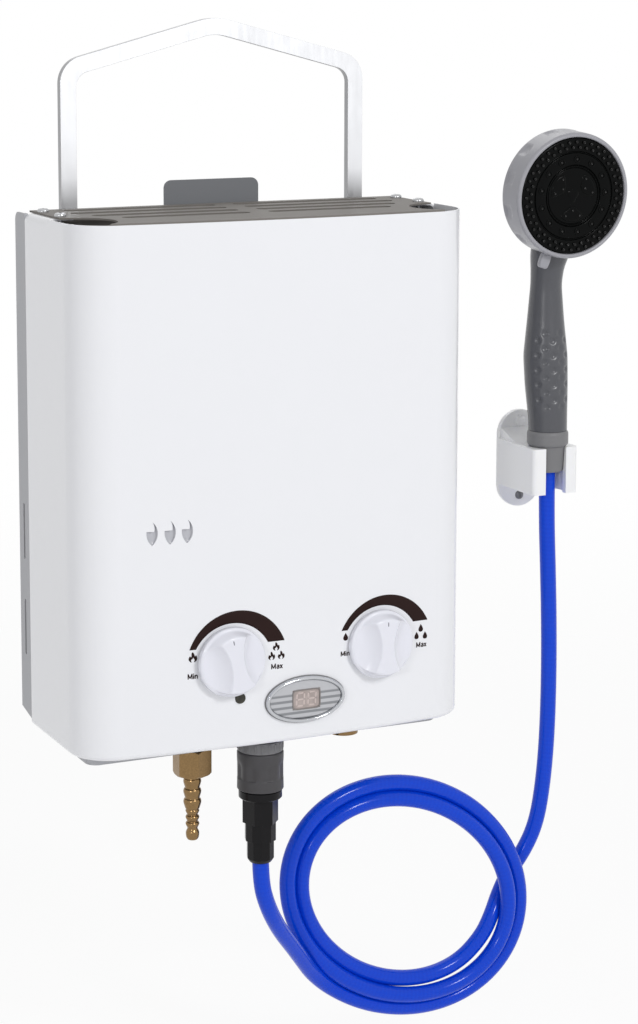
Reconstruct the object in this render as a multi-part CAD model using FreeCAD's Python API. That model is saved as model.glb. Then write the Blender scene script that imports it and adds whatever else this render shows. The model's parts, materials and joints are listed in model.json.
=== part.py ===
import FreeCAD, Part
import math
import os

# Portable gas water heater with its shower hose, wall holder and handset. Lengths are in mm.
# The origin is the centre of the wall keyhole, on the wall plane. +X points right as seen
# from the front, +Y points into the wall, +Z points up.

V = FreeCAD.Vector

# ---------------------------------------------------------------- shared values
FIT = 0.3                   # gap between neighbours that don't touch
RUNNING = 0.05              # radial clearance of a turning or sliding fit
SHEET = 1.2                 # sheet steel of the casing
THIN_SHEET = 0.8            # sheet of the burner, chamber and hood

# ---------------------------------------------------------------- casing
KEYHOLE_DROP = 34.0         # top rim above the keyhole
CASE_W = 290.0
CASE_H = 358.0
CASE_D = 122.0              # wall to the front face, at its side edges
FRONT_BOW = 8.0             # how far the front swells out in its middle
CORNER_R = 30.0
BOTTOM_BEND_R = 4.0
TOP_ROLL_R = 5.0            # rolled side edges at the top
TRAY_DEPTH = 20.0           # side flange of the back panel that shows
TRAY_LAP = 12.0             # its lip behind the cover
TRAY_TOP_R = 6.0
TRAY_RISE_WALL = 9.4        # slanted lower end of the flange, at the wall
TRAY_RISE_LIP = 5.0         # and at the cover
TRAY_SLOT_W = 3.0
TRAY_SLOT_H = 39.5
TRAY_SLOT_Y = 10.0
TRAY_SLOT_DROPS = (221.7, 289.7)   # slot centres below the rim
KEYHOLE_R = 5.5
KEYHOLE_SLOT_W = 5.2
KEYHOLE_SLOT_RISE = 14.0

# base tray below the cover
BASE_DROP = 8.5
BASE_INSET = 13.0           # from the casing's sides
BASE_D = 100.0
BASE_CORNER_R = 8.0
BASE_LAP = 22.0             # height of its walls inside the cover
AIR_SLOTS = 7
AIR_SLOT_PITCH = 12.0
AIR_SLOT_L = 34.0
AIR_SLOT_W = 4.0
AIR_SLOT_X = -8.0           # middle of the row
AIR_SLOT_Y = -40.0

# top grille
GRILLE_INSET = 6.5          # plate's side edges from the casing's sides
GRILLE_BACK = 11.5
LIP_REACH = 12.0            # the cover's ledge under the plate
LIP_END = 66.0              # depth at which the rolled edge ends
GRILLE_MARGINS = (26.5, 24.0, 32.0, 45.6)   # ends of the slot rows from the casing's sides
GRILLE_PITCH = 20.2
GRILLE_FIRST = 25.0
GRILLE_SLOT_W = 10.5
GRILLE_WEB = 14.0
CUTOUT_INSET = 6.7
CUTOUT_Y = -100.3
CUTOUT_R = 28.4
GRILLE_FLANGE = 12.0
GRILLE_FRONT_FLANGE_W = 196.0
SCREW_HEAD_R = 4.0
SCREW_HEAD_H = 2.4
SCREW_R = 1.75
SCREW_L = 8.0
GRILLE_SCREW_INSET = 11.0
GRILLE_SCREW_YS = (-26.5, -61.0)
CROSS_W = 0.9
CROSS_L = 4.6
CROSS_D = 1.2

# hanger plate
HANGER_W = 72.0
HANGER_RISE = 17.5
HANGER_DROP = 64.0          # below the rim
HANGER_T = 1.6
HANGER_R = 5.5

# carry handle
BAR_W = 11.5
BAR_T = 6.0
HANDLE_W = 229.5
LEG_SET = 4.0               # back of the legs from the wall
SHOULDER_Z = 101.1          # above the rim
APEX_Z = 131.7
SHOULDER_R = 19.0
SHOULDER_INNER_R = 11.0
APEX_R = 45.0
APEX_INNER_R = 33.0
LEG_BELOW_RIM = 52.0
GUIDE_TOP = 12.6            # below the rim
GUIDE_L = 30.0
GUIDE_WALL = 1.5
GUIDE_EAR = 8.0
STOP_PIN_R = 2.0
STOP_PIN_REACH = 3.0

# controls on the front
GAS_X = -41.6
WATER_X = 70.6
KNOB_DROP = 296.1           # knob axes below the rim
KNOB_R = 24.0
KNOB_TOP_R = 19.5
KNOB_BASE_H = 5.0
KNOB_H = 14.0
KNOB_BLADE_W = 9.0
KNOB_SCOOP_R = 34.0
KNOB_EDGE_R = 1.8
KNOB_GAP = 0.7
GAS_POINTER_DEG = 12.0
SHAFT_R = 3.0
SHAFT_FLAT = 1.0
SHAFT_L_IN_VALVE = 14.0
NECK_R = 8.0
NECK_HOLE_R = 9.0
DISPLAY_X = 13.6
DISPLAY_DROP = 328.8
DISPLAY_W = 59.0
DISPLAY_H = 32.0
BEZEL_BAND = 2.4
BEZEL_PROUD = 3.2
BEZEL_WALL = 1.2
FASCIA_T = 4.0
WINDOW_W = 20.5
WINDOW_H = 13.6
WINDOW_X = 0.6             # from the middle of the display
MODULE_W = 56.0
MODULE_H = 32.0
MODULE_D = 14.0
SIGHT_X = -34.1
SIGHT_DROP = 323.1
SIGHT_R = 3.5
SIGHT_T = 2.4
VENT_XS = (-96.0, -83.5, -71.5)
VENT_DROP = 205.0
VENT_H = 16.0
VENT_W = 8.0

# burner, chamber and exchanger
CHAMBER_W = 160.0
CHAMBER_BACK = 24.0
CHAMBER_FRONT = 100.0
BURNER_DROP = 265.0         # lower end of the burner frame below the rim
BURNER_H = 50.0
CHAMBER_H = 140.0
HOOD_H = 58.0
HOOD_W = 206.0
HOOD_BACK = 19.0
HOOD_FRONT = 94.0
BURNER_BARS = 7
BURNER_PITCH = 20.0
BURNER_BAR_W = 12.0
BURNER_BAR_H = 32.0
BURNER_RAIL = 6.0
FIN_COUNT = 9
FIN_PITCH = 13.0
FIN_T = 0.8
FIN_H = 44.0
FIN_TOP_GAP = 4.0
WATER_PIPE_R = 6.0
RUN_PITCH = 24.0            # between the exchanger's tube runs
FRONT_RUN_Y = -86.0
PIPE_BEND_R = 14.0
PIPE_STAND_OFF = 24.0       # upright pipes beside the chamber
FEED_RISE = 8.0             # feed pipe above the knob axes
BRACKET_W = 20.0
BRACKET_H = 14.0
BRACKET_X = 55.0
MANIFOLD_R = 6.0
MANIFOLD_Y = -107.0
MANIFOLD_RISE = 17.0        # above the burner frame's lower end
MANIFOLD_W = 136.0
NOZZLE_R = 2.5
ELECTRODE_R = 1.2
CERAMIC_R = 3.0
CERAMIC_L = 16.0
ELECTRODE_RISE = 46.0       # above the burner frame's lower end
ELECTRODE_TIP = 12.0
SPARK_X = 20.0
SENSOR_X = -20.0

# valves
GAS_VALVE_W = 44.0
WATER_VALVE_W = 28.0
VALVE_BACK = 60.0
VALVE_FRONT = 114.0
VALVE_H = 47.0
SOLENOID_R = 10.0
SOLENOID_L = 20.0
DIAPHRAGM_R = 21.0
DIAPHRAGM_L = 12.0
IGNITER_W = 40.0
IGNITER_D = 43.0
IGNITER_H = 58.0
GAS_PIPE_R = 5.0

# connections below the casing
CONNECT_Y = -86.0
GAS_IN_X = -51.5
NUT_AF = 23.6
NUT_TURN = 27.5
NUT_H = 18.5
NUT_BORE_R = 7.2
BARB_NECK_R = 4.6
BARB_UPPER_R = 6.05
BARB_LOWER_R = 4.7
BARB_BORE_R = 2.4
BARB_LIP = 3.0
BARB_RIDGES = 3
BARB_UPPER_L = 22.0
BARB_LOWER_L = 14.0
BARB_END_L = 8.1
BARB_END_R = 4.45
INLET_X = 76.0
INLET_Y = -62.0
INLET_R = 10.5
INLET_L = 10.5
INLET_SHOULDER = 1.8
INLET_BORE_R = 7.0
COLLAR_R = 16.5
COLLAR_H = 7.4
COLLAR_RIBS = 20
COLLAR_RIB_R = 1.3
SPIGOT_R = 8.0
SPIGOT_L = 38.0
SPIGOT_BORE_R = 5.0
SLEEVE_R = 16.4
SLEEVE_WAIST_R = 15.5
SLEEVE_L = 27.5
SLEEVE_TRAVEL = 5.0
GUIDE_TUBE_R = 12.3
RING_R = 15.3
RING_H = 6.5
BODY_R = 12.8
BODY_H = 18.0
BODY_SIDES = 6
BODY_TURN = 47.5
HOSE_NUT_R = 11.15
HOSE_NUT_H = 13.0
HOSE_END_R = 9.75
HOSE_END_H = 15.7
FACETS = 10
HOSE_R = 6.0
HOSE_SEAT = 6.0             # how deep the hose sits in its nut
HOSE_BORE_GAP = 0.3

# battery compartment
CELL_R = 17.1
CELL_H = 61.5
CELL_FRONT_Y = -65.0
BATTERY_WALL = 1.5
LID_T = 2.0
LID_GAP = 0.4
HINGE_R = 2.0
HINGE_PIN_R = 0.9
HINGE_DROP = 0.5            # hinge axis below the base
HINGE_INSET = 2.6           # hinge axis inside the outer edge of the opening
HINGE_LUG_L = 6.0
HINGE_L = 28.0

# wall holder and handset
HANDSET_X = 252.0
HANDSET_Y = -45.0
HOLDER_W = 36.0
HOLDER_H = 74.0
HOLDER_T = 4.0
HOLDER_DROP = 202.4         # its middle below the rim
HOLDER_HOLE_R = 2.2
HOLDER_HOLES = 57.0         # between its two screw holes
FORK_W = 38.0
FORK_FRONT = 58.0
FORK_H = 34.6
FORK_SLOT = 17.0
FORK_EDGE_R = 4.0
FORK_RIDGE = 8.0            # rise of the fork's rear part at the plate
FORK_RIDGE_D = 22.0
FORK_SWEEP_R = 1.5
COLLAR_SEAT_DROP = 185.7    # lower side of the handset's collar below the rim
HAND_COLLAR_R = 15.35
HAND_COLLAR_H = 11.7
CONE_TOP_R = 13.2
CONE_END_R = 11.6
CONE_H = 19.0
GRIP_END_R = 14.25
# sections of the grip and neck: drop below the rim, half width, half depth, how far forward
GRIP_SECTIONS = ((174.0, GRIP_END_R, GRIP_END_R, 0.0), (166.0, 14.4, 14.4, 0.0),
                 (141.0, 15.9, 15.9, 0.0), (119.0, 16.4, 16.4, 0.0), (91.5, 13.6, 13.6, 0.0),
                 (66.0, 11.5, 11.5, 0.0), (54.0, 11.9, 12.4, 1.0), (42.0, 13.0, 14.2, 2.8),
                 (28.0, 13.4, 13.4, 4.0), (16.0, 10.0, 9.0, 5.0))
HEAD_RISE = 2.0             # face centre above the rim
HEAD_FRONT = 77.0           # face centre from the wall
HEAD_TILT = 4.5
FACE_R = 42.5
FACE_T = 11.5
FACE_SET = 0.6              # how far the face lies behind the ring's edge
FACE_STEP = 1.0
RING_OUTER_R = 46.0
RING_D = 24.0
SPIGOT_HEAD_R = 40.0
BOWL_D = 18.0
SCALLOPS = 12
SCALLOP_R = 6.0
SCALLOP_DEPTH = 1.2
TAB_W = 8.0
TAB_T = 4.5
TAB_FROM = 4.5              # behind the face plane
TAB_TURN = -13.0            # from straight down
TAB_REACH = 10.0
NOZZLES = 20
FACE_NOZZLE_R = 1.1
FACE_NOZZLE_H = 1.2
NOZZLE_BAND = 7.0
NOZZLE_RING_INSET = 2.0
MAT_T = 0.8

# ---------------------------------------------------------------- derived places
HALF_W = CASE_W / 2
BASE_W = CASE_W - 2 * BASE_INSET
GRILLE_W = CASE_W - 2 * GRILLE_INSET
GRILLE_ROWS = [HALF_W - margin for margin in GRILLE_MARGINS]
CUTOUT_X = HALF_W - CUTOUT_INSET
GRILLE_SCREW_X = HALF_W - GRILLE_SCREW_INSET
HOT_DROP_X = -CHAMBER_W / 2 - PIPE_STAND_OFF
COLD_RISE_X = CHAMBER_W / 2 + PIPE_STAND_OFF
Z_RIM = KEYHOLE_DROP
Z_CASE = Z_RIM - CASE_H
Z_BASE = Z_CASE - BASE_DROP
Z_KNOB = Z_RIM - KNOB_DROP
Z_DISPLAY = Z_RIM - DISPLAY_DROP
Z_LIP = Z_RIM - SHEET
Z_PLATE = Z_RIM
Z_PLATE_TOP = Z_PLATE + SHEET
Z_BURNER = Z_RIM - BURNER_DROP
Z_CHAMBER = Z_BURNER + BURNER_H
Z_HOOD = Z_CHAMBER + CHAMBER_H
Z_FLOOR = Z_BASE + SHEET
BOW_R = (HALF_W ** 2 + FRONT_BOW ** 2) / (2 * FRONT_BOW)
BOW_Y = BOW_R - CASE_D - FRONT_BOW
LEG_BACK = -LEG_SET
LEG_FRONT = LEG_BACK - BAR_T
LEG_X = HANDLE_W / 2 - BAR_W / 2
Z_GUIDE = Z_RIM - GUIDE_TOP - GUIDE_L
Z_RUNS = Z_HOOD - FIN_TOP_GAP - FIN_H / 2
Z_VALVE = Z_KNOB - VALVE_H / 2
Z_COLLAR = Z_BASE - 1.0
Z_SLEEVE = Z_COLLAR - COLLAR_H
Z_RING = Z_SLEEVE - SLEEVE_L - 2 * FIT
Z_BODY = Z_RING - RING_H
Z_HOSE_NUT = Z_BODY - BODY_H
Z_HOSE = Z_HOSE_NUT - HOSE_NUT_H - HOSE_END_H
Z_SEAT = Z_RIM - COLLAR_SEAT_DROP
Z_HOLDER = Z_RIM - HOLDER_DROP
HEAD = V(HANDSET_X, -HEAD_FRONT, Z_RIM + HEAD_RISE)
CELL_X = BASE_W / 2 - SHEET - 2 * FIT - BATTERY_WALL - CELL_R
CELL_BACK_Y = CELL_FRONT_Y + 2 * (CELL_R + FIT)
BOX_W = 2 * (CELL_R + FIT + BATTERY_WALL)
BOX_FRONT = CELL_FRONT_Y - CELL_R - FIT - BATTERY_WALL
BOX_BACK = CELL_BACK_Y + CELL_R + FIT + BATTERY_WALL
HINGE_X = CELL_X + CELL_R + FIT - HINGE_INSET
LID_Y = (CELL_FRONT_Y + CELL_BACK_Y) / 2
Z_HINGE = Z_BASE - HINGE_DROP

# the hose where it hangs free: from its nut to the coil, and from the coil to the handset
HOSE_LEAD = [V(0, CONNECT_Y, Z_HOSE + HOSE_SEAT), V(0, CONNECT_Y, -438), V(7.5, -82, -459.5),
             V(23, -72, -481.5), V(46, -55, -508), V(70.5, -44, -531.5), V(92, -38, -549)]
HOSE_RISER = [V(197, -36, -525), V(208, -34, -512), V(220.5, -27.5, -499), V(234, -23, -485.5),
              V(247, -22.5, -470.5), V(257.5, -23.5, -451.5), V(263.5, -25, -425),
              V(265.2, -28, -386), V(264.2, -31.5, -338), V(261.5, -35, -290),
              V(257, -39.8, -245), V(252, -45, -203.5), V(252, -45, Z_SEAT - CONE_H + HOSE_SEAT)]
# the loose coil: middle, half axes of its outline and of its eye, and how far it leans
COIL = V(138.5, -36, -481)
COIL_OUTER = (107.0, 87.0)
COIL_EYE = (72.0, 56.0)
COIL_LEAN = -30.5


# ---------------------------------------------------------------- helpers
def box(x0, x1, y0, y1, z0, z1):
    """Box between two corners."""
    low = V(min(x0, x1), min(y0, y1), min(z0, z1))
    return Part.makeBox(abs(x1 - x0), abs(y1 - y0), abs(z1 - z0), low)


def rod(radius, start, end):
    """Round bar between two points."""
    return Part.makeCylinder(radius, (end - start).Length, start, end - start)


def upright(radius, x, y, z0, z1):
    """Round bar along Z."""
    return rod(radius, V(x, y, z0), V(x, y, z1))


def through(radius, x, z, y_front, y_back):
    """Round bar along Y."""
    return rod(radius, V(x, y_front, z), V(x, y_back, z))


def fused(shapes):
    """One solid from overlapping or touching shapes."""
    return shapes[0].fuse(shapes[1:]).removeSplitter()


def group(shapes):
    """Separate solids kept in one node."""
    return Part.makeCompound(shapes)


def edges_where(shape, test):
    """Edges whose end points all pass the test."""
    return [edge for edge in shape.Edges if all(test(vertex.Point) for vertex in edge.Vertexes)]


def upright_edges(shape, x, y):
    """Edges along Z through (x, y)."""
    return edges_where(shape, lambda p: abs(p.x - x) < 0.01 and abs(p.y - y) < 0.01)


def edges_along_y(shape, x, z):
    """Edges along Y through (x, z)."""
    return edges_where(shape, lambda p: abs(p.x - x) < 0.01 and abs(p.z - z) < 0.01)


def flat_face(points):
    """Plane face inside a closed polygon."""
    return Part.Face(Part.makePolygon(points + [points[0]]))


def turned(profile, axis_x=0.0, axis_y=0.0):
    """Solid of revolution about Z from (radius, z) points."""
    face = flat_face([V(radius, 0, z) for radius, z in profile])
    solid = face.revolve(V(0, 0, 0), V(0, 0, 1), 360)
    solid.translate(V(axis_x, axis_y, 0))
    return solid


def facing_front(shape, x, y, z, tilt=0.0):
    """Stand a shape drawn in XY and raised along +Z so that it faces the front at (x, y, z)."""
    placed = shape.copy()
    placed.rotate(V(0, 0, 0), V(1, 0, 0), 90 + tilt)
    placed.translate(V(x, y, z))
    return placed


def oval(width, height, depth):
    """Elliptical disc in XY, raised along +Z."""
    ellipse = Part.Ellipse(V(0, 0, 0), width / 2, height / 2)
    return Part.Face(Part.Wire(ellipse.toShape())).extrude(V(0, 0, depth))


def slot(length, width, depth):
    """Round-ended bar along X in the XY plane, centred, raised along +Z."""
    radius = width / 2
    reach = length / 2 - radius
    bar = Part.makeBox(2 * reach, width, depth, V(-reach, -radius, 0))
    ends = [Part.makeCylinder(radius, depth, V(side * reach, 0, 0)) for side in (-1, 1)]
    return fused([bar] + ends)


def prism(sides, radius, x, y, z0, z1, turn=0.0):
    """Regular prism along Z; radius is to its corners."""
    step = 2 * math.pi / sides
    first = math.radians(turn)
    corners = [V(x + radius * math.cos(first + step * i), y + radius * math.sin(first + step * i), z0)
               for i in range(sides)]
    return flat_face(corners).extrude(V(0, 0, z1 - z0))


def bow_at(x):
    """Y of the cover's front face at x."""
    return BOW_Y - math.sqrt(BOW_R ** 2 - x ** 2)


def bow_over(x, reach):
    """Foremost Y of the cover between x - reach and x + reach."""
    nearest = max(abs(x) - reach, 0.0)
    return bow_at(nearest)


def corner_arc(before, corner, after, reach):
    """Tangent arc that rounds a corner, starting and ending at reach from it."""
    into = V(corner - before).normalize()
    out = V(after - corner).normalize()
    turn = into.getAngle(out)
    radius = reach / math.tan(turn / 2)
    start = corner - into * reach
    end = corner + out * reach
    inward = V(out - into).normalize()
    middle = corner + inward * (radius / math.cos(turn / 2) - radius)
    return start, end, Part.Arc(start, middle, end), radius, turn


def tube_path(points, bend=None):
    """Straight runs joined by tangent arcs: of one radius, or as large as the runs allow."""
    edges = []
    radii = []
    at = points[0]
    for before, corner, after in zip(points, points[1:], points[2:]):
        into = corner - before
        out = after - corner
        turn = into.getAngle(out)
        reach = 0.45 * min(into.Length, out.Length)
        if bend:
            reach = bend * math.tan(turn / 2)
        start, end, arc, radius, turn = corner_arc(before, corner, after, reach)
        edges.append(Part.LineSegment(at, start).toShape())
        edges.append(arc.toShape())
        radii.append(round(radius))
        at = end
    edges.append(Part.LineSegment(at, points[-1]).toShape())
    return Part.Wire(edges), radii


def tube(points, radius, bend=None):
    """Round bar along a path."""
    path, radii = tube_path(points, bend)
    ring = Part.Wire(Part.makeCircle(radius, points[0], points[1] - points[0]))
    solid = path.makePipeShell([ring], True, False)
    return solid, path, radii


def hose_tube(label, points):
    """Plain tube of the hose; prints its bends and how its volume compares."""
    solid, path, radii = tube(points, HOSE_R)
    expected = math.pi * HOSE_R ** 2 * path.Length
    print(label, "length", round(path.Length, 1), "radii", radii, "volume ratio",
          round(solid.Volume / expected, 4))
    return solid


def pan_head(x, y, z):
    """Cross-recessed pan-head screw standing on the plane z, shank downwards."""
    head = Part.makeCylinder(SCREW_HEAD_R, SCREW_HEAD_H)
    head = head.makeFillet(SCREW_HEAD_H * 0.7, edges_where(head, lambda p: p.z > SCREW_HEAD_H / 2))
    shank = upright(SCREW_R, 0, 0, -SCREW_L, SCREW_HEAD_H / 2)
    screw = fused([head, shank])
    low = SCREW_HEAD_H - CROSS_D
    for length, width in ((CROSS_L, CROSS_W), (CROSS_W, CROSS_L)):
        screw = screw.cut(box(-length / 2, length / 2, -width / 2, width / 2, low, SCREW_HEAD_H + 1))
    screw.translate(V(x, y, z))
    return screw


# ---------------------------------------------------------------- casing
def casing_block(inset, z_low, z_high, depth_back):
    """The cover's plan shape as a solid, its walls moved in by inset."""
    half = HALF_W - inset
    radius = BOW_R - inset
    y_edge = BOW_Y - math.sqrt(radius ** 2 - half ** 2)
    left_back = V(-half, -depth_back, z_low)
    left_front = V(-half, y_edge, z_low)
    right_front = V(half, y_edge, z_low)
    right_back = V(half, -depth_back, z_low)
    front = Part.Arc(left_front, V(0, BOW_Y - radius, z_low), right_front)
    wire = Part.Wire([Part.LineSegment(left_back, left_front).toShape(), front.toShape(),
                      Part.LineSegment(right_front, right_back).toShape(),
                      Part.LineSegment(right_back, left_back).toShape()])
    block = Part.Face(wire).extrude(V(0, 0, z_high - z_low))
    corners = upright_edges(block, -half, y_edge) + upright_edges(block, half, y_edge)
    return block.makeFillet(CORNER_R - inset, corners)


def round_bottom(block, z_low, depth_back, radius):
    """Round the lower edge of a casing block, apart from its open back."""
    around = [edge for edge in block.Edges
              if all(abs(vertex.Z - z_low) < 0.01 for vertex in edge.Vertexes)
              and min(vertex.Y for vertex in edge.Vertexes) < -depth_back - 0.01]
    return block.makeFillet(radius, around)


def top_lip(side):
    """Rolled upper side edge of the cover, with the ledge that carries the grille plate."""
    x_roll = HALF_W - TOP_ROLL_R
    z_roll = Z_RIM - TOP_ROLL_R
    x_end = GRILLE_W / 2 - LIP_REACH
    inner_r = TOP_ROLL_R - SHEET
    slant = math.sqrt(0.5)

    def at(x, z):
        return V(side * x, -LIP_END, z)

    outer = Part.Arc(at(HALF_W, z_roll), at(x_roll + TOP_ROLL_R * slant, z_roll + TOP_ROLL_R * slant),
                     at(x_roll, Z_RIM))
    inner = Part.Arc(at(x_roll, Z_LIP), at(x_roll + inner_r * slant, z_roll + inner_r * slant),
                     at(HALF_W - SHEET, z_roll))
    corners = [at(x_roll, Z_RIM), at(x_end, Z_RIM), at(x_end, Z_LIP), at(x_roll, Z_LIP)]
    edges = [outer.toShape()]
    edges += [Part.LineSegment(a, b).toShape() for a, b in zip(corners, corners[1:])]
    edges += [inner.toShape(), Part.LineSegment(at(HALF_W - SHEET, z_roll), at(HALF_W, z_roll)).toShape()]
    face = Part.Face(Part.Wire(edges))
    return face.extrude(V(0, LIP_END - TRAY_DEPTH, 0))


def vent_cutter(x):
    """Flame-shaped opening: full width below, a thin crescent above."""
    half_w = VENT_W / 2
    half_h = VENT_H / 2
    tip = V(0, -half_h, 0)
    top = V(half_w * 0.1, half_h, 0)
    inner = V(half_w * 0.4, half_h * 0.2, 0)
    left = V(-half_w * 0.95, half_h * 0.2, 0)
    edges = [Part.Arc(tip, V(half_w, -half_h * 0.1, 0), top).toShape(),
             Part.Arc(top, V(half_w * 0.42, half_h * 0.6, 0), inner).toShape(),
             Part.LineSegment(inner, left).toShape(),
             Part.Arc(left, V(-half_w * 0.75, -half_h * 0.5, 0), tip).toShape()]
    blade = Part.Face(Part.Wire(edges)).extrude(V(0, 0, 2 * FRONT_BOW))
    return facing_front(blade, x, bow_at(x) + FRONT_BOW, Z_RIM - VENT_DROP)


def front_cover():
    outer = round_bottom(casing_block(0, Z_CASE, Z_RIM, TRAY_DEPTH), Z_CASE, TRAY_DEPTH, BOTTOM_BEND_R)
    inner = casing_block(SHEET, Z_CASE + SHEET, Z_RIM + SHEET, TRAY_DEPTH - SHEET)
    inner = round_bottom(inner, Z_CASE + SHEET, TRAY_DEPTH - SHEET, BOTTOM_BEND_R - SHEET)
    shell = outer.cut(inner)
    shell = shell.cut(base_block(FIT, Z_CASE - 1, Z_CASE + BOTTOM_BEND_R))
    for side in (-1, 1):
        wall = box(side * (HALF_W - 2 * SHEET), side * (HALF_W + 1), -LIP_END, 0,
                   Z_RIM - TOP_ROLL_R, Z_RIM + 1)
        shell = shell.cut(wall)
    shell = fused([shell, top_lip(-1), top_lip(1)])
    y_open = -CASE_D - FRONT_BOW - 1
    y_in = y_open + 3 * FRONT_BOW
    cutters = [through(NECK_HOLE_R, x, Z_KNOB, y_open, y_in) for x in (GAS_X, WATER_X)]
    cutters.append(through(SIGHT_R + FIT, SIGHT_X, Z_RIM - SIGHT_DROP, y_open, y_in))
    hole = oval(DISPLAY_W - BEZEL_BAND, DISPLAY_H - BEZEL_BAND, 3 * FRONT_BOW)
    cutters.append(facing_front(hole, DISPLAY_X, y_in, Z_DISPLAY))
    cutters += [vent_cutter(x) for x in VENT_XS]
    cutters += [upright(SCREW_R + FIT, side * GRILLE_SCREW_X, y, Z_RIM - TOP_ROLL_R, Z_RIM + 1)
                for side in (-1, 1) for y in GRILLE_SCREW_YS]
    return shell.cut(cutters)


def base_block(grow, z_low, z_high):
    """Plan shape of the base tray, grown outwards, with rounded front corners."""
    half = BASE_W / 2 + grow
    front = -BASE_D - grow
    block = box(-half, half, front, -SHEET, z_low, z_high)
    corners = upright_edges(block, -half, front) + upright_edges(block, half, front)
    return block.makeFillet(BASE_CORNER_R + grow, corners)


def base_tray():
    z_top = Z_CASE + BASE_LAP
    tray = base_block(0, Z_BASE, z_top).cut(base_block(-SHEET, Z_FLOOR, z_top + 1))
    tray = fused([tray, box(-BASE_W / 2 + SHEET, BASE_W / 2 - SHEET, -SHEET, -2 * SHEET, Z_BASE, z_top)])
    half_cell = CELL_R + FIT
    openings = [box(CELL_X - half_cell, CELL_X + half_cell, CELL_FRONT_Y - half_cell,
                    CELL_BACK_Y + half_cell, Z_BASE - 1, Z_FLOOR + 1),
                upright(GAS_PIPE_R + FIT, GAS_IN_X, CONNECT_Y, Z_BASE - 1, Z_FLOOR + 1),
                upright(SPIGOT_R + 1 + FIT, 0, CONNECT_Y, Z_BASE - 1, Z_FLOOR + 1),
                upright(INLET_R + FIT, INLET_X, INLET_Y, Z_BASE - 1, Z_FLOOR + 1)]
    first = AIR_SLOT_X - AIR_SLOT_PITCH * (AIR_SLOTS - 1) / 2
    for i in range(AIR_SLOTS):
        cutter = slot(AIR_SLOT_L, AIR_SLOT_W, 4 * SHEET)
        cutter.rotate(V(0, 0, 0), V(0, 0, 1), 90)
        cutter.translate(V(first + i * AIR_SLOT_PITCH, AIR_SLOT_Y, Z_BASE - SHEET))
        openings.append(cutter)
    tray = tray.cut(openings)
    lugs = [hinge_lug(side) for side in (-1, 1)]
    tray = fused([tray] + lugs)
    return tray.cut(battery_hinge_pin())


def hinge_lug(side):
    """Eye of the battery lid's hinge at the outer edge of its opening."""
    y_out = LID_Y + side * HINGE_L / 2
    y_in = y_out - side * HINGE_LUG_L
    eye = rod(HINGE_R, V(HINGE_X, y_out, Z_HINGE), V(HINGE_X, y_in, Z_HINGE))
    web = box(HINGE_X, HINGE_X + HINGE_INSET + SHEET, y_out, y_in, Z_BASE, Z_FLOOR)
    return fused([eye, web])


def keyhole_cutter():
    """Keyhole through both plates: round entry at the origin, slot above it."""
    reach = SHEET + HANGER_T + 1
    entry = through(KEYHOLE_R, 0, 0, -reach, 1)
    neck = box(-KEYHOLE_SLOT_W / 2, KEYHOLE_SLOT_W / 2, -reach, 1, 0, KEYHOLE_SLOT_RISE)
    end = through(KEYHOLE_SLOT_W / 2, 0, KEYHOLE_SLOT_RISE, -reach, 1)
    return fused([entry, neck, end])


def back_panel():
    """Shallow tray: wall plate, side flanges with a lip behind the cover."""
    z_wall = Z_CASE + TRAY_RISE_WALL
    z_lip = Z_CASE + TRAY_RISE_LIP
    depth = TRAY_DEPTH + TRAY_LAP
    side_view = flat_face([V(0, 0, z_wall), V(0, 0, Z_RIM), V(0, -depth, Z_RIM),
                           V(0, -depth, z_lip), V(0, -TRAY_DEPTH, z_lip)])
    outline = side_view.extrude(V(CASE_W, 0, 0))
    outline.translate(V(-HALF_W, 0, 0))
    top_edge = edges_where(outline, lambda p: abs(p.y) < 0.01 and abs(p.z - Z_RIM) < 0.01)
    outline = outline.makeFillet(TRAY_TOP_R, top_edge)
    low = Z_CASE - 1
    high = Z_RIM + 1
    outer = box(-HALF_W, HALF_W, -TRAY_DEPTH + FIT, 0, low, high)
    inner = box(-HALF_W + SHEET, HALF_W - SHEET, -TRAY_DEPTH, -SHEET, low, high)
    flanges = outer.cut(inner)
    lips = [box(side * (HALF_W - SHEET), side * (HALF_W - 2 * SHEET), -TRAY_DEPTH + 4 * SHEET, -depth,
                low, high) for side in (-1, 1)]
    lap_end = Z_RIM - TOP_ROLL_R - FIT
    panel = fused([flanges] + lips).common(outline)
    top_clear = [box(side * (HALF_W - SHEET), side * (HALF_W - LIP_REACH), -TRAY_DEPTH + FIT, -depth - 1,
                     lap_end, high) for side in (-1, 1)]
    slots = []
    for side in (-1, 1):
        for drop in TRAY_SLOT_DROPS:
            cutter = slot(TRAY_SLOT_H, TRAY_SLOT_W, 6 * SHEET)
            cutter.rotate(V(0, 0, 0), V(0, 1, 0), 90)
            cutter.translate(V(side * HALF_W - 3 * SHEET, -TRAY_SLOT_Y, Z_RIM - drop))
            slots.append(cutter)
    return panel.cut(top_clear + slots + [keyhole_cutter()])


def hanger_plate():
    """Plate behind the grille that carries the keyhole and stands above the rim."""
    top = Z_RIM + HANGER_RISE
    plate = box(-HANGER_W / 2, HANGER_W / 2, -SHEET, -SHEET - HANGER_T, Z_RIM - HANGER_DROP, top)
    corners = edges_along_y(plate, -HANGER_W / 2, top) + edges_along_y(plate, HANGER_W / 2, top)
    return plate.makeFillet(HANGER_R, corners).cut(keyhole_cutter())


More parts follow.
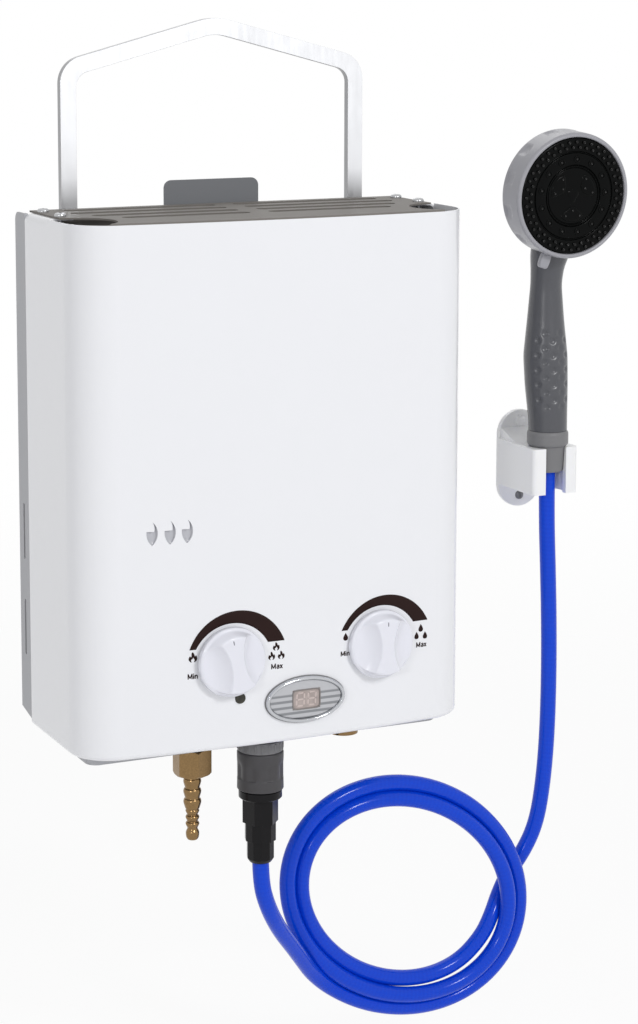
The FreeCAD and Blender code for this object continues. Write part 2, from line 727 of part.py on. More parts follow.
def top_grille():
    inset = SHEET + FIT
    half = GRILLE_W / 2
    block = casing_block(FIT, Z_PLATE, Z_PLATE_TOP, GRILLE_BACK)
    plate = block.common(box(-half, half, -CASE_D - 2 * FRONT_BOW, -GRILLE_BACK, Z_PLATE, Z_PLATE_TOP))
    cutters = [upright(CUTOUT_R, side * CUTOUT_X, CUTOUT_Y, Z_PLATE - 1, Z_PLATE_TOP + 1)
               for side in (-1, 1)]
    for row, reach in enumerate(GRILLE_ROWS):
        length = reach - GRILLE_WEB / 2
        for side in (-1, 1):
            cutter = slot(length, GRILLE_SLOT_W, 3 * SHEET)
            cutter.translate(V(side * (reach + GRILLE_WEB / 2) / 2, -GRILLE_FIRST - row * GRILLE_PITCH,
                               Z_PLATE - SHEET))
            cutters.append(cutter)
    cutters += [upright(SCREW_R + FIT, side * GRILLE_SCREW_X, y, Z_PLATE - 1, Z_PLATE_TOP + 1)
                for side in (-1, 1) for y in GRILLE_SCREW_YS]
    plate = plate.cut(cutters)
    z_flange = Z_RIM - GRILLE_FLANGE
    rear = box(-half + LIP_REACH + 1, half - LIP_REACH - 1, -GRILLE_BACK, -GRILLE_BACK - SHEET,
               z_flange, Z_PLATE)
    strip = casing_block(inset, z_flange, Z_PLATE, GRILLE_BACK)
    strip = strip.cut(casing_block(inset + SHEET, z_flange - 1, Z_PLATE + 1, GRILLE_BACK - 1))
    front_half = GRILLE_FRONT_FLANGE_W / 2
    front = strip.common(box(-front_half, front_half, -CASE_D - FRONT_BOW, -CASE_D / 2, z_flange, Z_PLATE))
    return fused([plate, rear, front])


def grille_screws():
    return group([pan_head(side * GRILLE_SCREW_X, y, Z_PLATE_TOP)
                  for side in (-1, 1) for y in GRILLE_SCREW_YS])


# ---------------------------------------------------------------- carry handle
def handle_outline():
    """Bar bent to two legs, two shoulders and a low peak, drawn at the legs' front face."""
    half = HANDLE_W / 2
    inner_half = half - BAR_W
    slope = (APEX_Z - SHOULDER_Z) / half
    drop = BAR_W * math.sqrt(1 + slope ** 2)
    low = Z_RIM - LEG_BELOW_RIM
    outer = [V(-half, LEG_FRONT, low), V(-half, LEG_FRONT, Z_RIM + SHOULDER_Z),
             V(0, LEG_FRONT, Z_RIM + APEX_Z), V(half, LEG_FRONT, Z_RIM + SHOULDER_Z),
             V(half, LEG_FRONT, low)]
    z_inner = Z_RIM + APEX_Z - drop
    inner = [V(inner_half, LEG_FRONT, low), V(inner_half, LEG_FRONT, z_inner - slope * inner_half),
             V(0, LEG_FRONT, z_inner), V(-inner_half, LEG_FRONT, z_inner - slope * inner_half),
             V(-inner_half, LEG_FRONT, low)]
    return outer, inner


def stop_pins():
    """Pins through the legs that meet the guides when the handle is fully up."""
    z = Z_GUIDE - FIT - STOP_PIN_R
    end = LEG_FRONT - FIT - GUIDE_WALL - STOP_PIN_REACH
    return [through(STOP_PIN_R, side * LEG_X, z, end, LEG_BACK) for side in (-1, 1)]


def carry_handle():
    outer, inner = handle_outline()
    bar = flat_face(outer + inner).extrude(V(0, BAR_T, 0))
    for corner in (outer[1], outer[3]):
        bar = bar.makeFillet(SHOULDER_R, edges_along_y(bar, corner.x, corner.z))
    for corner in (inner[1], inner[3]):
        bar = bar.makeFillet(SHOULDER_INNER_R, edges_along_y(bar, corner.x, corner.z))
    bar = bar.makeFillet(APEX_R, edges_along_y(bar, outer[2].x, outer[2].z))
    bar = bar.makeFillet(APEX_INNER_R, edges_along_y(bar, inner[2].x, inner[2].z))
    return bar.cut(stop_pins())


def handle_stop_pins():
    return group(stop_pins())


def handle_guides():
    """Hat-shaped guides on the back panel, one round each leg."""
    guides = []
    half = BAR_W / 2 + FIT
    z_top = Z_GUIDE + GUIDE_L
    for side in (-1, 1):
        x = side * LEG_X
        outer = box(x - half - GUIDE_WALL, x + half + GUIDE_WALL, -SHEET, LEG_FRONT - FIT - GUIDE_WALL,
                    Z_GUIDE, z_top)
        ears = box(x - half - GUIDE_EAR, x + half + GUIDE_EAR, -SHEET, -SHEET - GUIDE_WALL, Z_GUIDE, z_top)
        cavity = box(x - half, x + half, LEG_BACK + FIT, LEG_FRONT - FIT, Z_GUIDE - 1, z_top + 1)
        guides.append(fused([outer, ears]).cut(cavity))
    return group(guides)


# ---------------------------------------------------------------- controls
def knob_back(x):
    """Rear plane of a knob, just clear of the bowed cover."""
    return bow_over(x, KNOB_R) - KNOB_GAP


def knob(x, pointer):
    """Round base with a grip blade left between two scoops."""
    base = Part.makeCylinder(KNOB_R, KNOB_BASE_H)
    base = base.makeFillet(KNOB_EDGE_R, edges_where(base, lambda p: p.z > KNOB_BASE_H / 2))
    grip = Part.makeCone(KNOB_R - KNOB_EDGE_R, KNOB_TOP_R, KNOB_H - KNOB_BASE_H / 2,
                         V(0, 0, KNOB_BASE_H / 2))
    grip = grip.makeFillet(KNOB_EDGE_R, edges_where(grip, lambda p: p.z > KNOB_H - 1))
    offset = KNOB_BLADE_W / 2 + KNOB_SCOOP_R
    for side in (-1, 1):
        scoop = Part.makeCylinder(KNOB_SCOOP_R, KNOB_H, V(side * offset, 0, KNOB_BASE_H))
        grip = grip.cut(scoop)
    body = fused([base, grip])
    depth = KNOB_H - 4
    bore = Part.makeCylinder(SHAFT_R + FIT / 3, depth)
    bore = bore.cut(box(SHAFT_R - SHAFT_FLAT + FIT / 3, SHAFT_R + 1, -SHAFT_R, SHAFT_R, 0, depth))
    body = body.cut(bore)
    body.rotate(V(0, 0, 0), V(0, 0, 1), pointer)
    return facing_front(body, x, knob_back(x), Z_KNOB)


def knob_shaft(x, pointer):
    """Flatted spindle from the valve into the knob."""
    inside = VALVE_FRONT - SHAFT_L_IN_VALVE
    length = -knob_back(x) - inside + KNOB_H - 5
    flat_from = -knob_back(x) - inside
    shaft = Part.makeCylinder(SHAFT_R, length)
    shaft = shaft.cut(box(SHAFT_R - SHAFT_FLAT, SHAFT_R + 1, -SHAFT_R, SHAFT_R, flat_from, length))
    shaft.rotate(V(0, 0, 0), V(0, 0, 1), pointer)
    return facing_front(shaft, x, -inside, Z_KNOB)


def gas_knob():
    return knob(GAS_X, GAS_POINTER_DEG)


def gas_knob_shaft():
    return knob_shaft(GAS_X, GAS_POINTER_DEG)


def water_knob():
    return knob(WATER_X, 0)


def water_knob_shaft():
    return knob_shaft(WATER_X, 0)


def valve_body(x_low, x_high, axis_x):
    """Valve block with a neck for its spindle."""
    block = box(x_low, x_high, -VALVE_BACK, -VALVE_FRONT, Z_VALVE, Z_VALVE + VALVE_H)
    block = block.makeFillet(3, [edge for edge in block.Edges if edge.Length > VALVE_H + 1])
    neck = through(NECK_R, axis_x, Z_KNOB, -CASE_D - 1, -VALVE_FRONT)
    bore = through(SHAFT_R + RUNNING, axis_x, Z_KNOB, -CASE_D - 2, -VALVE_FRONT + SHAFT_L_IN_VALVE)
    return fused([block, neck]).cut(bore)


def gas_valve():
    x_low = GAS_X - GAS_VALVE_W / 2
    block = valve_body(x_low, x_low + GAS_VALVE_W, GAS_X)
    y = -(VALVE_BACK + VALVE_FRONT) / 2
    solenoid = rod(SOLENOID_R, V(x_low, y, Z_KNOB), V(x_low - SOLENOID_L, y, Z_KNOB))
    return fused([block, solenoid])


def water_valve():
    x_low = WATER_X - WATER_VALVE_W / 2
    block = valve_body(x_low, x_low + WATER_VALVE_W, WATER_X)
    y = -(VALVE_BACK + VALVE_FRONT) / 2
    diaphragm = rod(DIAPHRAGM_R, V(x_low, y, Z_KNOB), V(x_low - DIAPHRAGM_L, y, Z_KNOB))
    diaphragm = diaphragm.makeFillet(2, edges_where(diaphragm, lambda p: p.x < x_low - 1))
    return fused([block, diaphragm])


def display_bezel():
    """Oval ring with a skirt through the cover."""
    back = bow_over(DISPLAY_X, DISPLAY_W / 2) - FIT
    ring = oval(DISPLAY_W, DISPLAY_H, BEZEL_PROUD)
    ring = ring.makeFillet(1.4, [edge for edge in ring.Edges if edge.BoundBox.ZMin > BEZEL_PROUD - 0.01])
    skirt_w = DISPLAY_W - BEZEL_BAND - 2 * FIT
    skirt_h = DISPLAY_H - BEZEL_BAND - 2 * FIT
    skirt = oval(skirt_w, skirt_h, BEZEL_PROUD)
    skirt.translate(V(0, 0, -BEZEL_PROUD + 0.5))
    body = fused([ring, skirt])
    bore = oval(skirt_w - 2 * BEZEL_WALL, skirt_h - 2 * BEZEL_WALL, 4 * BEZEL_PROUD)
    bore.translate(V(0, 0, -2 * BEZEL_PROUD))
    return facing_front(body.cut(bore), DISPLAY_X, back, Z_DISPLAY)


def module_front():
    """Front plane of the display module, where the bezel's skirt ends."""
    return bow_over(DISPLAY_X, DISPLAY_W / 2) - FIT + BEZEL_PROUD - 0.5


def display_fascia():
    inset = BEZEL_BAND + 2 * FIT + 2 * BEZEL_WALL + 2 * FIT
    plate = oval(DISPLAY_W - inset, DISPLAY_H - inset, FASCIA_T)
    half_w = WINDOW_W / 2 + FIT / 2
    half_h = WINDOW_H / 2 + FIT / 2
    plate = plate.cut(box(WINDOW_X - half_w, WINDOW_X + half_w, -half_h, half_h, -1, FASCIA_T + 1))
    return facing_front(plate, DISPLAY_X, module_front(), Z_DISPLAY)


def display_window():
    pane = box(WINDOW_X - WINDOW_W / 2, WINDOW_X + WINDOW_W / 2, -WINDOW_H / 2, WINDOW_H / 2,
               0, FASCIA_T - FIT)
    return facing_front(pane, DISPLAY_X, module_front(), Z_DISPLAY)


def display_module():
    front = module_front()
    block = box(DISPLAY_X - MODULE_W / 2, DISPLAY_X + MODULE_W / 2, front, front + MODULE_D,
                Z_DISPLAY - MODULE_H / 2 + 3, Z_DISPLAY + MODULE_H / 2 + 3)
    cover_gap = casing_block(SHEET + FIT, Z_CASE + BOTTOM_BEND_R, Z_RIM, TRAY_DEPTH)
    return block.common(cover_gap)


def sight_glass():
    """Small window plug in the cover."""
    face = bow_at(SIGHT_X)
    plug = Part.makeCylinder(SIGHT_R, SIGHT_T)
    flange = Part.makeCylinder(SIGHT_R + 2, SHEET, V(0, 0, -SHEET))
    return facing_front(fused([plug, flange]), SIGHT_X, face + SHEET + FIT, Z_RIM - SIGHT_DROP)


# ---------------------------------------------------------------- burner and exchanger
def sheet_duct(x_half, back, front, z_low, z_high):
    """Rectangular duct of thin sheet, open above and below."""
    outer = box(-x_half, x_half, -back, -front, z_low, z_high)
    inner = box(-x_half + THIN_SHEET, x_half - THIN_SHEET, -back - THIN_SHEET, -front + THIN_SHEET,
                z_low - 1, z_high + 1)
    return outer.cut(inner)


def run_ys():
    """Y of the exchanger's three tube runs, front to back."""
    return [FRONT_RUN_Y + i * RUN_PITCH for i in range(3)]


def combustion_chamber():
    half = CHAMBER_W / 2
    duct = sheet_duct(half, CHAMBER_BACK, CHAMBER_FRONT, Z_CHAMBER, Z_HOOD)
    runs = run_ys()
    inlet = rod(WATER_PIPE_R + FIT, V(half - 2, runs[0], Z_RUNS), V(half + 1, runs[0], Z_RUNS))
    outlet = rod(WATER_PIPE_R + FIT, V(-half + 2, runs[2], Z_RUNS), V(-half - 1, runs[2], Z_RUNS))
    return duct.cut([inlet, outlet])


def burner_frame():
    """Duct under the chamber with two rails for the bars and brackets to the back panel."""
    half = CHAMBER_W / 2
    duct = sheet_duct(half, CHAMBER_BACK, CHAMBER_FRONT, Z_BURNER, Z_CHAMBER)
    rails = [box(-half, half, y, y + side * BURNER_RAIL, Z_BURNER, Z_BURNER + THIN_SHEET)
             for side, y in ((-1, -CHAMBER_BACK), (1, -CHAMBER_FRONT))]
    brackets = [box(side * BRACKET_X - BRACKET_W / 2, side * BRACKET_X + BRACKET_W / 2, -SHEET,
                    -CHAMBER_BACK, Z_CHAMBER - BRACKET_H, Z_CHAMBER - BRACKET_H + SHEET)
                for side in (-1, 1)]
    return fused([duct] + rails + brackets)


def burner_bars():
    """Row of slotted bars standing on the rails."""
    back = -CHAMBER_BACK - THIN_SHEET
    front = -CHAMBER_FRONT + THIN_SHEET
    low = Z_BURNER + THIN_SHEET
    half = BURNER_BAR_W / 2
    throat = half * 0.6
    bars = []
    for i in range(BURNER_BARS):
        x = (i - (BURNER_BARS - 1) / 2) * BURNER_PITCH
        section = flat_face([V(x - half, front, low), V(x + half, front, low),
                             V(x + half, front, low + BURNER_BAR_H * 0.3),
                             V(x + throat, front, low + BURNER_BAR_H * 0.6),
                             V(x + throat, front, low + BURNER_BAR_H),
                             V(x - throat, front, low + BURNER_BAR_H),
                             V(x - throat, front, low + BURNER_BAR_H * 0.6),
                             V(x - half, front, low + BURNER_BAR_H * 0.3)])
        bar = section.extrude(V(0, back - front, 0))
        ports = box(x - throat / 2, x + throat / 2, front + 6, back - 6, low + BURNER_BAR_H * 0.7,
                    low + BURNER_BAR_H + 1)
        bars.append(bar.cut(ports))
    return group(bars)


def exchanger_points():
    """Three runs joined by half-turns; in at the right front, out at the left back."""
    front, middle, back = run_ys()
    turn = CHAMBER_W / 2 - THIN_SHEET - WATER_PIPE_R - 2 * FIT
    half = CHAMBER_W / 2 + 4
    return [V(half, front, Z_RUNS), V(-turn, front, Z_RUNS), V(-turn, middle, Z_RUNS),
            V(turn, middle, Z_RUNS), V(turn, back, Z_RUNS), V(-half, back, Z_RUNS)]


def exchanger_pipe():
    solid, path, radii = tube(exchanger_points(), WATER_PIPE_R, RUN_PITCH / 2 - 0.1)
    return solid


def exchanger_fins():
    """Fin plates threaded on the tube runs."""
    fins = []
    z_low = Z_RUNS - FIN_H / 2
    for i in range(FIN_COUNT):
        x = (i - (FIN_COUNT - 1) / 2) * FIN_PITCH
        fin = box(x - FIN_T / 2, x + FIN_T / 2, -CHAMBER_BACK - THIN_SHEET, -CHAMBER_FRONT + THIN_SHEET,
                  z_low, z_low + FIN_H)
        holes = [rod(WATER_PIPE_R + FIT / 3, V(x - 1, y, Z_RUNS), V(x + 1, y, Z_RUNS)) for y in run_ys()]
        fins.append(fin.cut(holes))
    return group(fins)


def hood_section(half, back, front, z):
    """Closed rectangle for the hood's loft."""
    corners = [V(-half, -back, z), V(half, -back, z), V(half, -front, z), V(-half, -front, z)]
    return Part.makePolygon(corners + [corners[0]])


def flue_hood():
    """Duct that widens from the chamber to the grille."""
    low = hood_section(CHAMBER_W / 2, CHAMBER_BACK, CHAMBER_FRONT, Z_HOOD)
    high = hood_section(HOOD_W / 2, HOOD_BACK, HOOD_FRONT, Z_HOOD + HOOD_H)
    t = THIN_SHEET
    low_in = hood_section(CHAMBER_W / 2 - t, CHAMBER_BACK + t, CHAMBER_FRONT - t, Z_HOOD)
    high_in = hood_section(HOOD_W / 2 - t, HOOD_BACK + t, HOOD_FRONT - t, Z_HOOD + HOOD_H)
    return Part.makeLoft([low, high], True, True).cut(Part.makeLoft([low_in, high_in], True, True))


def gas_manifold():
    """Tube across the burner with a nozzle for each bar and a riser from the valve."""
    z = Z_BURNER + MANIFOLD_RISE
    half = MANIFOLD_W / 2
    pieces = [rod(MANIFOLD_R, V(-half, MANIFOLD_Y, z), V(half, MANIFOLD_Y, z)),
              upright(GAS_PIPE_R, GAS_X, MANIFOLD_Y, Z_VALVE + VALVE_H, z)]
    for i in range(BURNER_BARS):
        x = (i - (BURNER_BARS - 1) / 2) * BURNER_PITCH
        pieces.append(through(NOZZLE_R, x, z, MANIFOLD_Y, -CHAMBER_FRONT))
    return fused(pieces)


def electrodes():
    """Spark pin and flame sensor: ceramic sleeves through the front of the frame."""
    z = Z_BURNER + ELECTRODE_RISE
    pieces = []
    for x in (SPARK_X, SENSOR_X):
        sleeve = through(CERAMIC_R, x, z, -CHAMBER_FRONT - CERAMIC_L, -CHAMBER_FRONT)
        wire = through(ELECTRODE_R, x, z, -CHAMBER_FRONT - CERAMIC_L - 4, -CHAMBER_FRONT + ELECTRODE_TIP)
        pieces.append(fused([sleeve, wire]))
    return group(pieces)


def burner_frame_with_ports():
    """Burner frame with the two holes for the electrodes."""
    z = Z_BURNER + ELECTRODE_RISE
    holes = [through(ELECTRODE_R + FIT, x, z, -CHAMBER_FRONT - 1, -CHAMBER_FRONT + 2)
             for x in (SPARK_X, SENSOR_X)]
    return burner_frame().cut(holes)


def igniter_module():
    left = -BASE_W / 2 + SHEET + FIT
    front = -BASE_D + SHEET + BASE_CORNER_R
    block = box(left, left + IGNITER_W, front, front + IGNITER_D, Z_FLOOR, Z_FLOOR + IGNITER_H)
    return block.makeFillet(2, edges_where(block, lambda p: p.z > Z_FLOOR + IGNITER_H - 0.01))


# ---------------------------------------------------------------- water and gas lines
def water_inlet_nipple():
    """Threaded stub for the cold water, seen from below only."""
    low = Z_BASE - INLET_SHOULDER - INLET_L
    high = Z_FLOOR + 2 * SHEET
    stub = upright(INLET_R, INLET_X, INLET_Y, low, high)
    shoulders = [upright(INLET_R + 3, INLET_X, INLET_Y, Z_BASE - INLET_SHOULDER, Z_BASE),
                 upright(INLET_R + 3, INLET_X, INLET_Y, Z_FLOOR, high)]
    bore = upright(INLET_BORE_R, INLET_X, INLET_Y, low - 1, high + 1)
    return fused([stub] + shoulders).cut(bore)


def cold_water_pipe():
    """From the inlet nipple into the bottom of the water valve."""
    return upright(WATER_PIPE_R, INLET_X, INLET_Y - FIT, Z_FLOOR, Z_VALVE)


def exchanger_feed_pipe():
    """From the side of the water valve up to the exchanger."""
    level = Z_KNOB + FEED_RISE
    start = V(WATER_X + WATER_VALVE_W / 2, FRONT_RUN_Y, level)
    corner = V(COLD_RISE_X, FRONT_RUN_Y, level)
    top = V(COLD_RISE_X, FRONT_RUN_Y, Z_RUNS)
    end = V(CHAMBER_W / 2 + 4, FRONT_RUN_Y, Z_RUNS)
    solid, path, radii = tube([start, corner, top, end], WATER_PIPE_R, PIPE_BEND_R - 2)
    return solid


def hot_water_pipe():
    """From the exchanger down the left side to the outlet nipple."""
    back_run = run_ys()[2]
    level = Z_FLOOR + IGNITER_H / 2
    points = [V(-CHAMBER_W / 2 - 4, back_run, Z_RUNS), V(HOT_DROP_X, back_run, Z_RUNS),
              V(HOT_DROP_X, back_run, level), V(0, back_run, level), V(0, CONNECT_Y, level),
              V(0, CONNECT_Y, Z_FLOOR + 4)]
    solid, path, radii = tube(points, WATER_PIPE_R, 10)
    return solid


def outlet_nipple():
    """Socket through the base tray that joins the hot pipe to the outlet collar."""
    outer = upright(SPIGOT_R + 1, 0, CONNECT_Y, Z_COLLAR, Z_FLOOR + 2 * SHEET)
    flange = upright(SPIGOT_R + 5, 0, CONNECT_Y, Z_FLOOR, Z_FLOOR + 4 * SHEET)
    body = fused([outer, flange]).common(base_block(-SHEET - FIT, Z_COLLAR, Z_CASE))
    bore = upright(WATER_PIPE_R + FIT / 2, 0, CONNECT_Y, Z_COLLAR - 1, Z_FLOOR + 5 * SHEET)
    return body.cut(bore)


def gas_pipe():
    """From the inlet nut up into the gas valve."""
    return upright(GAS_PIPE_R, GAS_IN_X, CONNECT_Y, Z_COLLAR, Z_VALVE)


def gas_inlet_nut():
    """Hexagon nut under the base tray."""
    corner_r = NUT_AF / math.sqrt(3)
    low = Z_COLLAR - NUT_H
    nut = prism(6, corner_r, GAS_IN_X, CONNECT_Y, low, Z_COLLAR, NUT_TURN)
    chamfer = 1.4
    round_off = turned([(0, low), (corner_r - chamfer, low), (corner_r, low + chamfer),
                        (corner_r, Z_COLLAR - chamfer), (corner_r - chamfer, Z_COLLAR), (0, Z_COLLAR)],
                       GAS_IN_X, CONNECT_Y)
    bore = upright(NUT_BORE_R, GAS_IN_X, CONNECT_Y, low + BARB_LIP, Z_COLLAR - 4)
    neck = upright(BARB_NECK_R + FIT, GAS_IN_X, CONNECT_Y, low - 1, low + BARB_LIP + 1)
    return nut.common(round_off).cut([bore, neck])


def barb_points():
    """Profile of the hose tail: flange in the nut, two sizes of barbs, rounded end."""
    top = Z_COLLAR - NUT_H + BARB_LIP
    z = Z_COLLAR - NUT_H - BARB_LIP
    points = [(BARB_BORE_R, top + 4), (NUT_BORE_R - FIT, top + 4), (NUT_BORE_R - FIT, top),
              (BARB_NECK_R, top), (BARB_NECK_R, z)]
    for length, radius in ((BARB_UPPER_L, BARB_UPPER_R), (BARB_LOWER_L, BARB_LOWER_R)):
        pitch = length / BARB_RIDGES
        root = radius - 1.2
        for _ in range(BARB_RIDGES):
            points += [(radius, z), (radius, z - pitch * 0.25), (root, z - pitch)]
            z -= pitch
    end = z - BARB_END_L
    points += [(BARB_END_R, z - 1.5), (BARB_END_R, end + 2), (BARB_END_R - 1.5, end), (BARB_BORE_R, end)]
    return points


def gas_barb():
    return turned(barb_points(), GAS_IN_X, CONNECT_Y)


def outlet_collar():
    """Ribbed grey adapter with the spigot that the connector snaps on."""
    low = Z_COLLAR - COLLAR_H
    ring = upright(COLLAR_R - COLLAR_RIB_R / 2, 0, CONNECT_Y, low, Z_COLLAR)
    spigot = upright(SPIGOT_R, 0, CONNECT_Y, Z_COLLAR - SPIGOT_L, Z_COLLAR)
    ribs = []
    for i in range(COLLAR_RIBS):
        turn = 2 * math.pi * i / COLLAR_RIBS
        reach = COLLAR_R - COLLAR_RIB_R
        ribs.append(upright(COLLAR_RIB_R, reach * math.cos(turn), CONNECT_Y + reach * math.sin(turn),
                            low + 1, Z_COLLAR - 1))
    bore = upright(SPIGOT_BORE_R, 0, CONNECT_Y, Z_COLLAR - SPIGOT_L - 1, Z_COLLAR + 1)
    return fused([ring, spigot] + ribs).cut(bore)


def connector_sleeve():
    """Grey sleeve that is pulled down over the ring to let go of the spigot."""
    high = Z_SLEEVE - FIT
    low = high - SLEEVE_L
    middle = (high + low) / 2
    seat = low + SLEEVE_TRAVEL + RING_H * 0.5
    flare = SLEEVE_L / 5
    profile = [(GUIDE_TUBE_R + RUNNING, high), (SLEEVE_R - 1, high), (SLEEVE_R, high - 1),
               (SLEEVE_R, high - flare), (SLEEVE_WAIST_R, middle + 2), (SLEEVE_WAIST_R, middle - 2),
               (SLEEVE_R, low + flare), (SLEEVE_R, low), (RING_R + FIT / 3, low), (RING_R + FIT / 3, seat),
               (GUIDE_TUBE_R + RUNNING, seat)]
    return turned(profile, 0, CONNECT_Y)


def connector_ring():
    profile = [(GUIDE_TUBE_R + FIT / 3, Z_RING), (RING_R - 0.8, Z_RING), (RING_R, Z_RING - 0.8),
               (RING_R, Z_BODY + 0.8), (RING_R - 0.8, Z_BODY), (GUIDE_TUBE_R + FIT / 3, Z_BODY)]
    return turned(profile, 0, CONNECT_Y)


def connector_body():
    """Faceted body with the guide tube that the sleeve slides on."""
    guide = upright(GUIDE_TUBE_R, 0, CONNECT_Y, Z_BODY, Z_SLEEVE - 1)
    body = prism(BODY_SIDES, BODY_R, 0, CONNECT_Y, Z_HOSE_NUT, Z_BODY, BODY_TURN)
    socket = upright(SPIGOT_R + FIT / 3, 0, CONNECT_Y, Z_COLLAR - SPIGOT_L - 1, Z_SLEEVE)
    bore = upright(SPIGOT_BORE_R, 0, CONNECT_Y, Z_HOSE_NUT - 1, Z_SLEEVE)
    return fused([guide, body]).cut([socket, bore])


def hose_nut():
    """Stepped faceted nut that grips the hose."""
    z_mid = Z_HOSE_NUT - HOSE_NUT_H
    wide = prism(FACETS, HOSE_NUT_R, 0, CONNECT_Y, z_mid, Z_HOSE_NUT)
    slim = prism(FACETS, HOSE_END_R, 0, CONNECT_Y, Z_HOSE, z_mid)
    rounded = turned([(0, Z_HOSE), (HOSE_END_R - 2, Z_HOSE), (HOSE_END_R, Z_HOSE + 3), (HOSE_END_R, z_mid),
                      (0, z_mid)], 0, CONNECT_Y)
    socket = upright(HOSE_R + HOSE_BORE_GAP, 0, CONNECT_Y, Z_HOSE - 1, Z_HOSE + HOSE_SEAT)
    bore = upright(SPIGOT_BORE_R - 1, 0, CONNECT_Y, Z_HOSE, Z_HOSE_NUT + 1)
    return fused([wide, slim.common(rounded)]).cut([socket, bore])


# ---------------------------------------------------------------- hose
def hose_lead():
    return hose_tube("hose_lead", HOSE_LEAD)


def hose_riser():
    return hose_tube("hose_riser", HOSE_RISER)


def hose_coil():
    """Outer shape of the loose coil, one hose thick."""
    ring = oval(2 * COIL_OUTER[0], 2 * COIL_OUTER[1], 2 * HOSE_R)
    ring = ring.cut(oval(2 * COIL_EYE[0], 2 * COIL_EYE[1], 2 * HOSE_R))
    ring.rotate(V(0, 0, 0), V(0, 0, 1), COIL_LEAN)
    return facing_front(ring, COIL.x, COIL.y + HOSE_R, COIL.z)


# ---------------------------------------------------------------- battery compartment
def battery_box():
    """Cup over the two cells, open below."""
    half = BOX_W / 2
    top = battery_top()
    cup = box(CELL_X - half, CELL_X + half, BOX_FRONT, BOX_BACK, Z_FLOOR, top + BATTERY_WALL)
    inside = box(CELL_X - half + BATTERY_WALL, CELL_X + half - BATTERY_WALL, BOX_FRONT + BATTERY_WALL,
                 BOX_BACK - BATTERY_WALL, Z_FLOOR - 1, top)
    return cup.cut(inside)


def battery_top():
    """Ceiling of the battery compartment."""
    return Z_BASE + LID_T + 2 * FIT + CELL_H


def battery_cells():
    low = Z_BASE + LID_T + FIT
    cells = []
    for y in (CELL_FRONT_Y, CELL_BACK_Y):
        can = upright(CELL_R, CELL_X, y, low, low + CELL_H - 2)
        cap = upright(4.5, CELL_X, y, low + CELL_H - 2, low + CELL_H)
        cells.append(fused([can, cap]))
    return group(cells)


def battery_lid():
    """Door in the base with the middle eye of its hinge."""
    half = CELL_R + FIT - LID_GAP
    edge = CELL_X - half
    plate = box(edge, HINGE_X - HINGE_R - LID_GAP, CELL_FRONT_Y - half, CELL_BACK_Y + half,
                Z_BASE, Z_BASE + LID_T)
    eye_half = HINGE_L / 2 - HINGE_LUG_L - LID_GAP
    low = LID_Y - eye_half
    high = LID_Y + eye_half
    eye = rod(HINGE_R, V(HINGE_X, low, Z_HINGE), V(HINGE_X, high, Z_HINGE))
    web = box(HINGE_X - HINGE_R - 1, HINGE_X, low, high, Z_BASE, Z_BASE + 1.2)
    bore = rod(HINGE_PIN_R + RUNNING, V(HINGE_X, low - 1, Z_HINGE), V(HINGE_X, high + 1, Z_HINGE))
    grip = box(edge + 3, edge + 5, LID_Y - 6, LID_Y + 6, Z_BASE - 1.5, Z_BASE)
    return fused([plate, eye, web, grip]).cut(bore)


def battery_hinge_pin():
    half = HINGE_L / 2
    return rod(HINGE_PIN_R, V(HINGE_X, LID_Y - half, Z_HINGE), V(HINGE_X, LID_Y + half, Z_HINGE))


# ---------------------------------------------------------------- wall holder
def holder_plate():
    """Round-ended wall plate with two screw holes."""
    plate = slot(HOLDER_H, HOLDER_W, HOLDER_T)
    plate.rotate(V(0, 0, 0), V(0, 0, 1), 90)
    plate = facing_front(plate, HANDSET_X, 0, Z_HOLDER)
    holes = [through(HOLDER_HOLE_R, HANDSET_X, Z_HOLDER + side * HOLDER_HOLES / 2, -HOLDER_T - 1, 1)
             for side in (-1, 1)]
    return plate.cut(holes)


def holder():
    """Wall plate and fork; the fork's cone carries the handset's nut."""
    top = Z_SEAT - FIT
    low = top - FORK_H
    half = FORK_W / 2
    back = -HOLDER_T
    fork = box(HANDSET_X - half, HANDSET_X + half, -FORK_FRONT, back, low, top)
    left = upright_edges(fork, HANDSET_X - half, -FORK_FRONT)
    right = upright_edges(fork, HANDSET_X + half, -FORK_FRONT)
    fork = fork.makeFillet(FORK_EDGE_R, left + right)
    narrow = HOLDER_W / 2 - FORK_SWEEP_R
    ridge_side = flat_face([V(HANDSET_X - narrow, back, top), V(HANDSET_X - narrow, back, top + FORK_RIDGE),
                            V(HANDSET_X - narrow, back - FORK_RIDGE_D, top)])
    ridge = ridge_side.extrude(V(2 * narrow, 0, 0))
    room = upright(HAND_COLLAR_R + FIT, HANDSET_X, HANDSET_Y, top, top + HOLDER_H)
    cone_gap = FIT
    seat = Part.makeCone(CONE_END_R + cone_gap, CONE_TOP_R + cone_gap, CONE_H + FIT,
                         V(HANDSET_X, HANDSET_Y, Z_SEAT - CONE_H - FIT))
    well = upright(CONE_END_R + cone_gap, HANDSET_X, HANDSET_Y, low - 1, Z_SEAT - CONE_H)
    mouth = box(HANDSET_X - FORK_SLOT / 2, HANDSET_X + FORK_SLOT / 2, -FORK_FRONT - 1, HANDSET_Y,
                low - 1, top + 1)
    body = fused([fork, ridge]).cut([room, seat, well, mouth])
    return fused([holder_plate(), body])


# ---------------------------------------------------------------- handset
def head_part(shape):
    """Place a shape drawn about the head's axis, its face plane at z = 0."""
    return facing_front(shape, HEAD.x, HEAD.y, HEAD.z, HEAD_TILT)


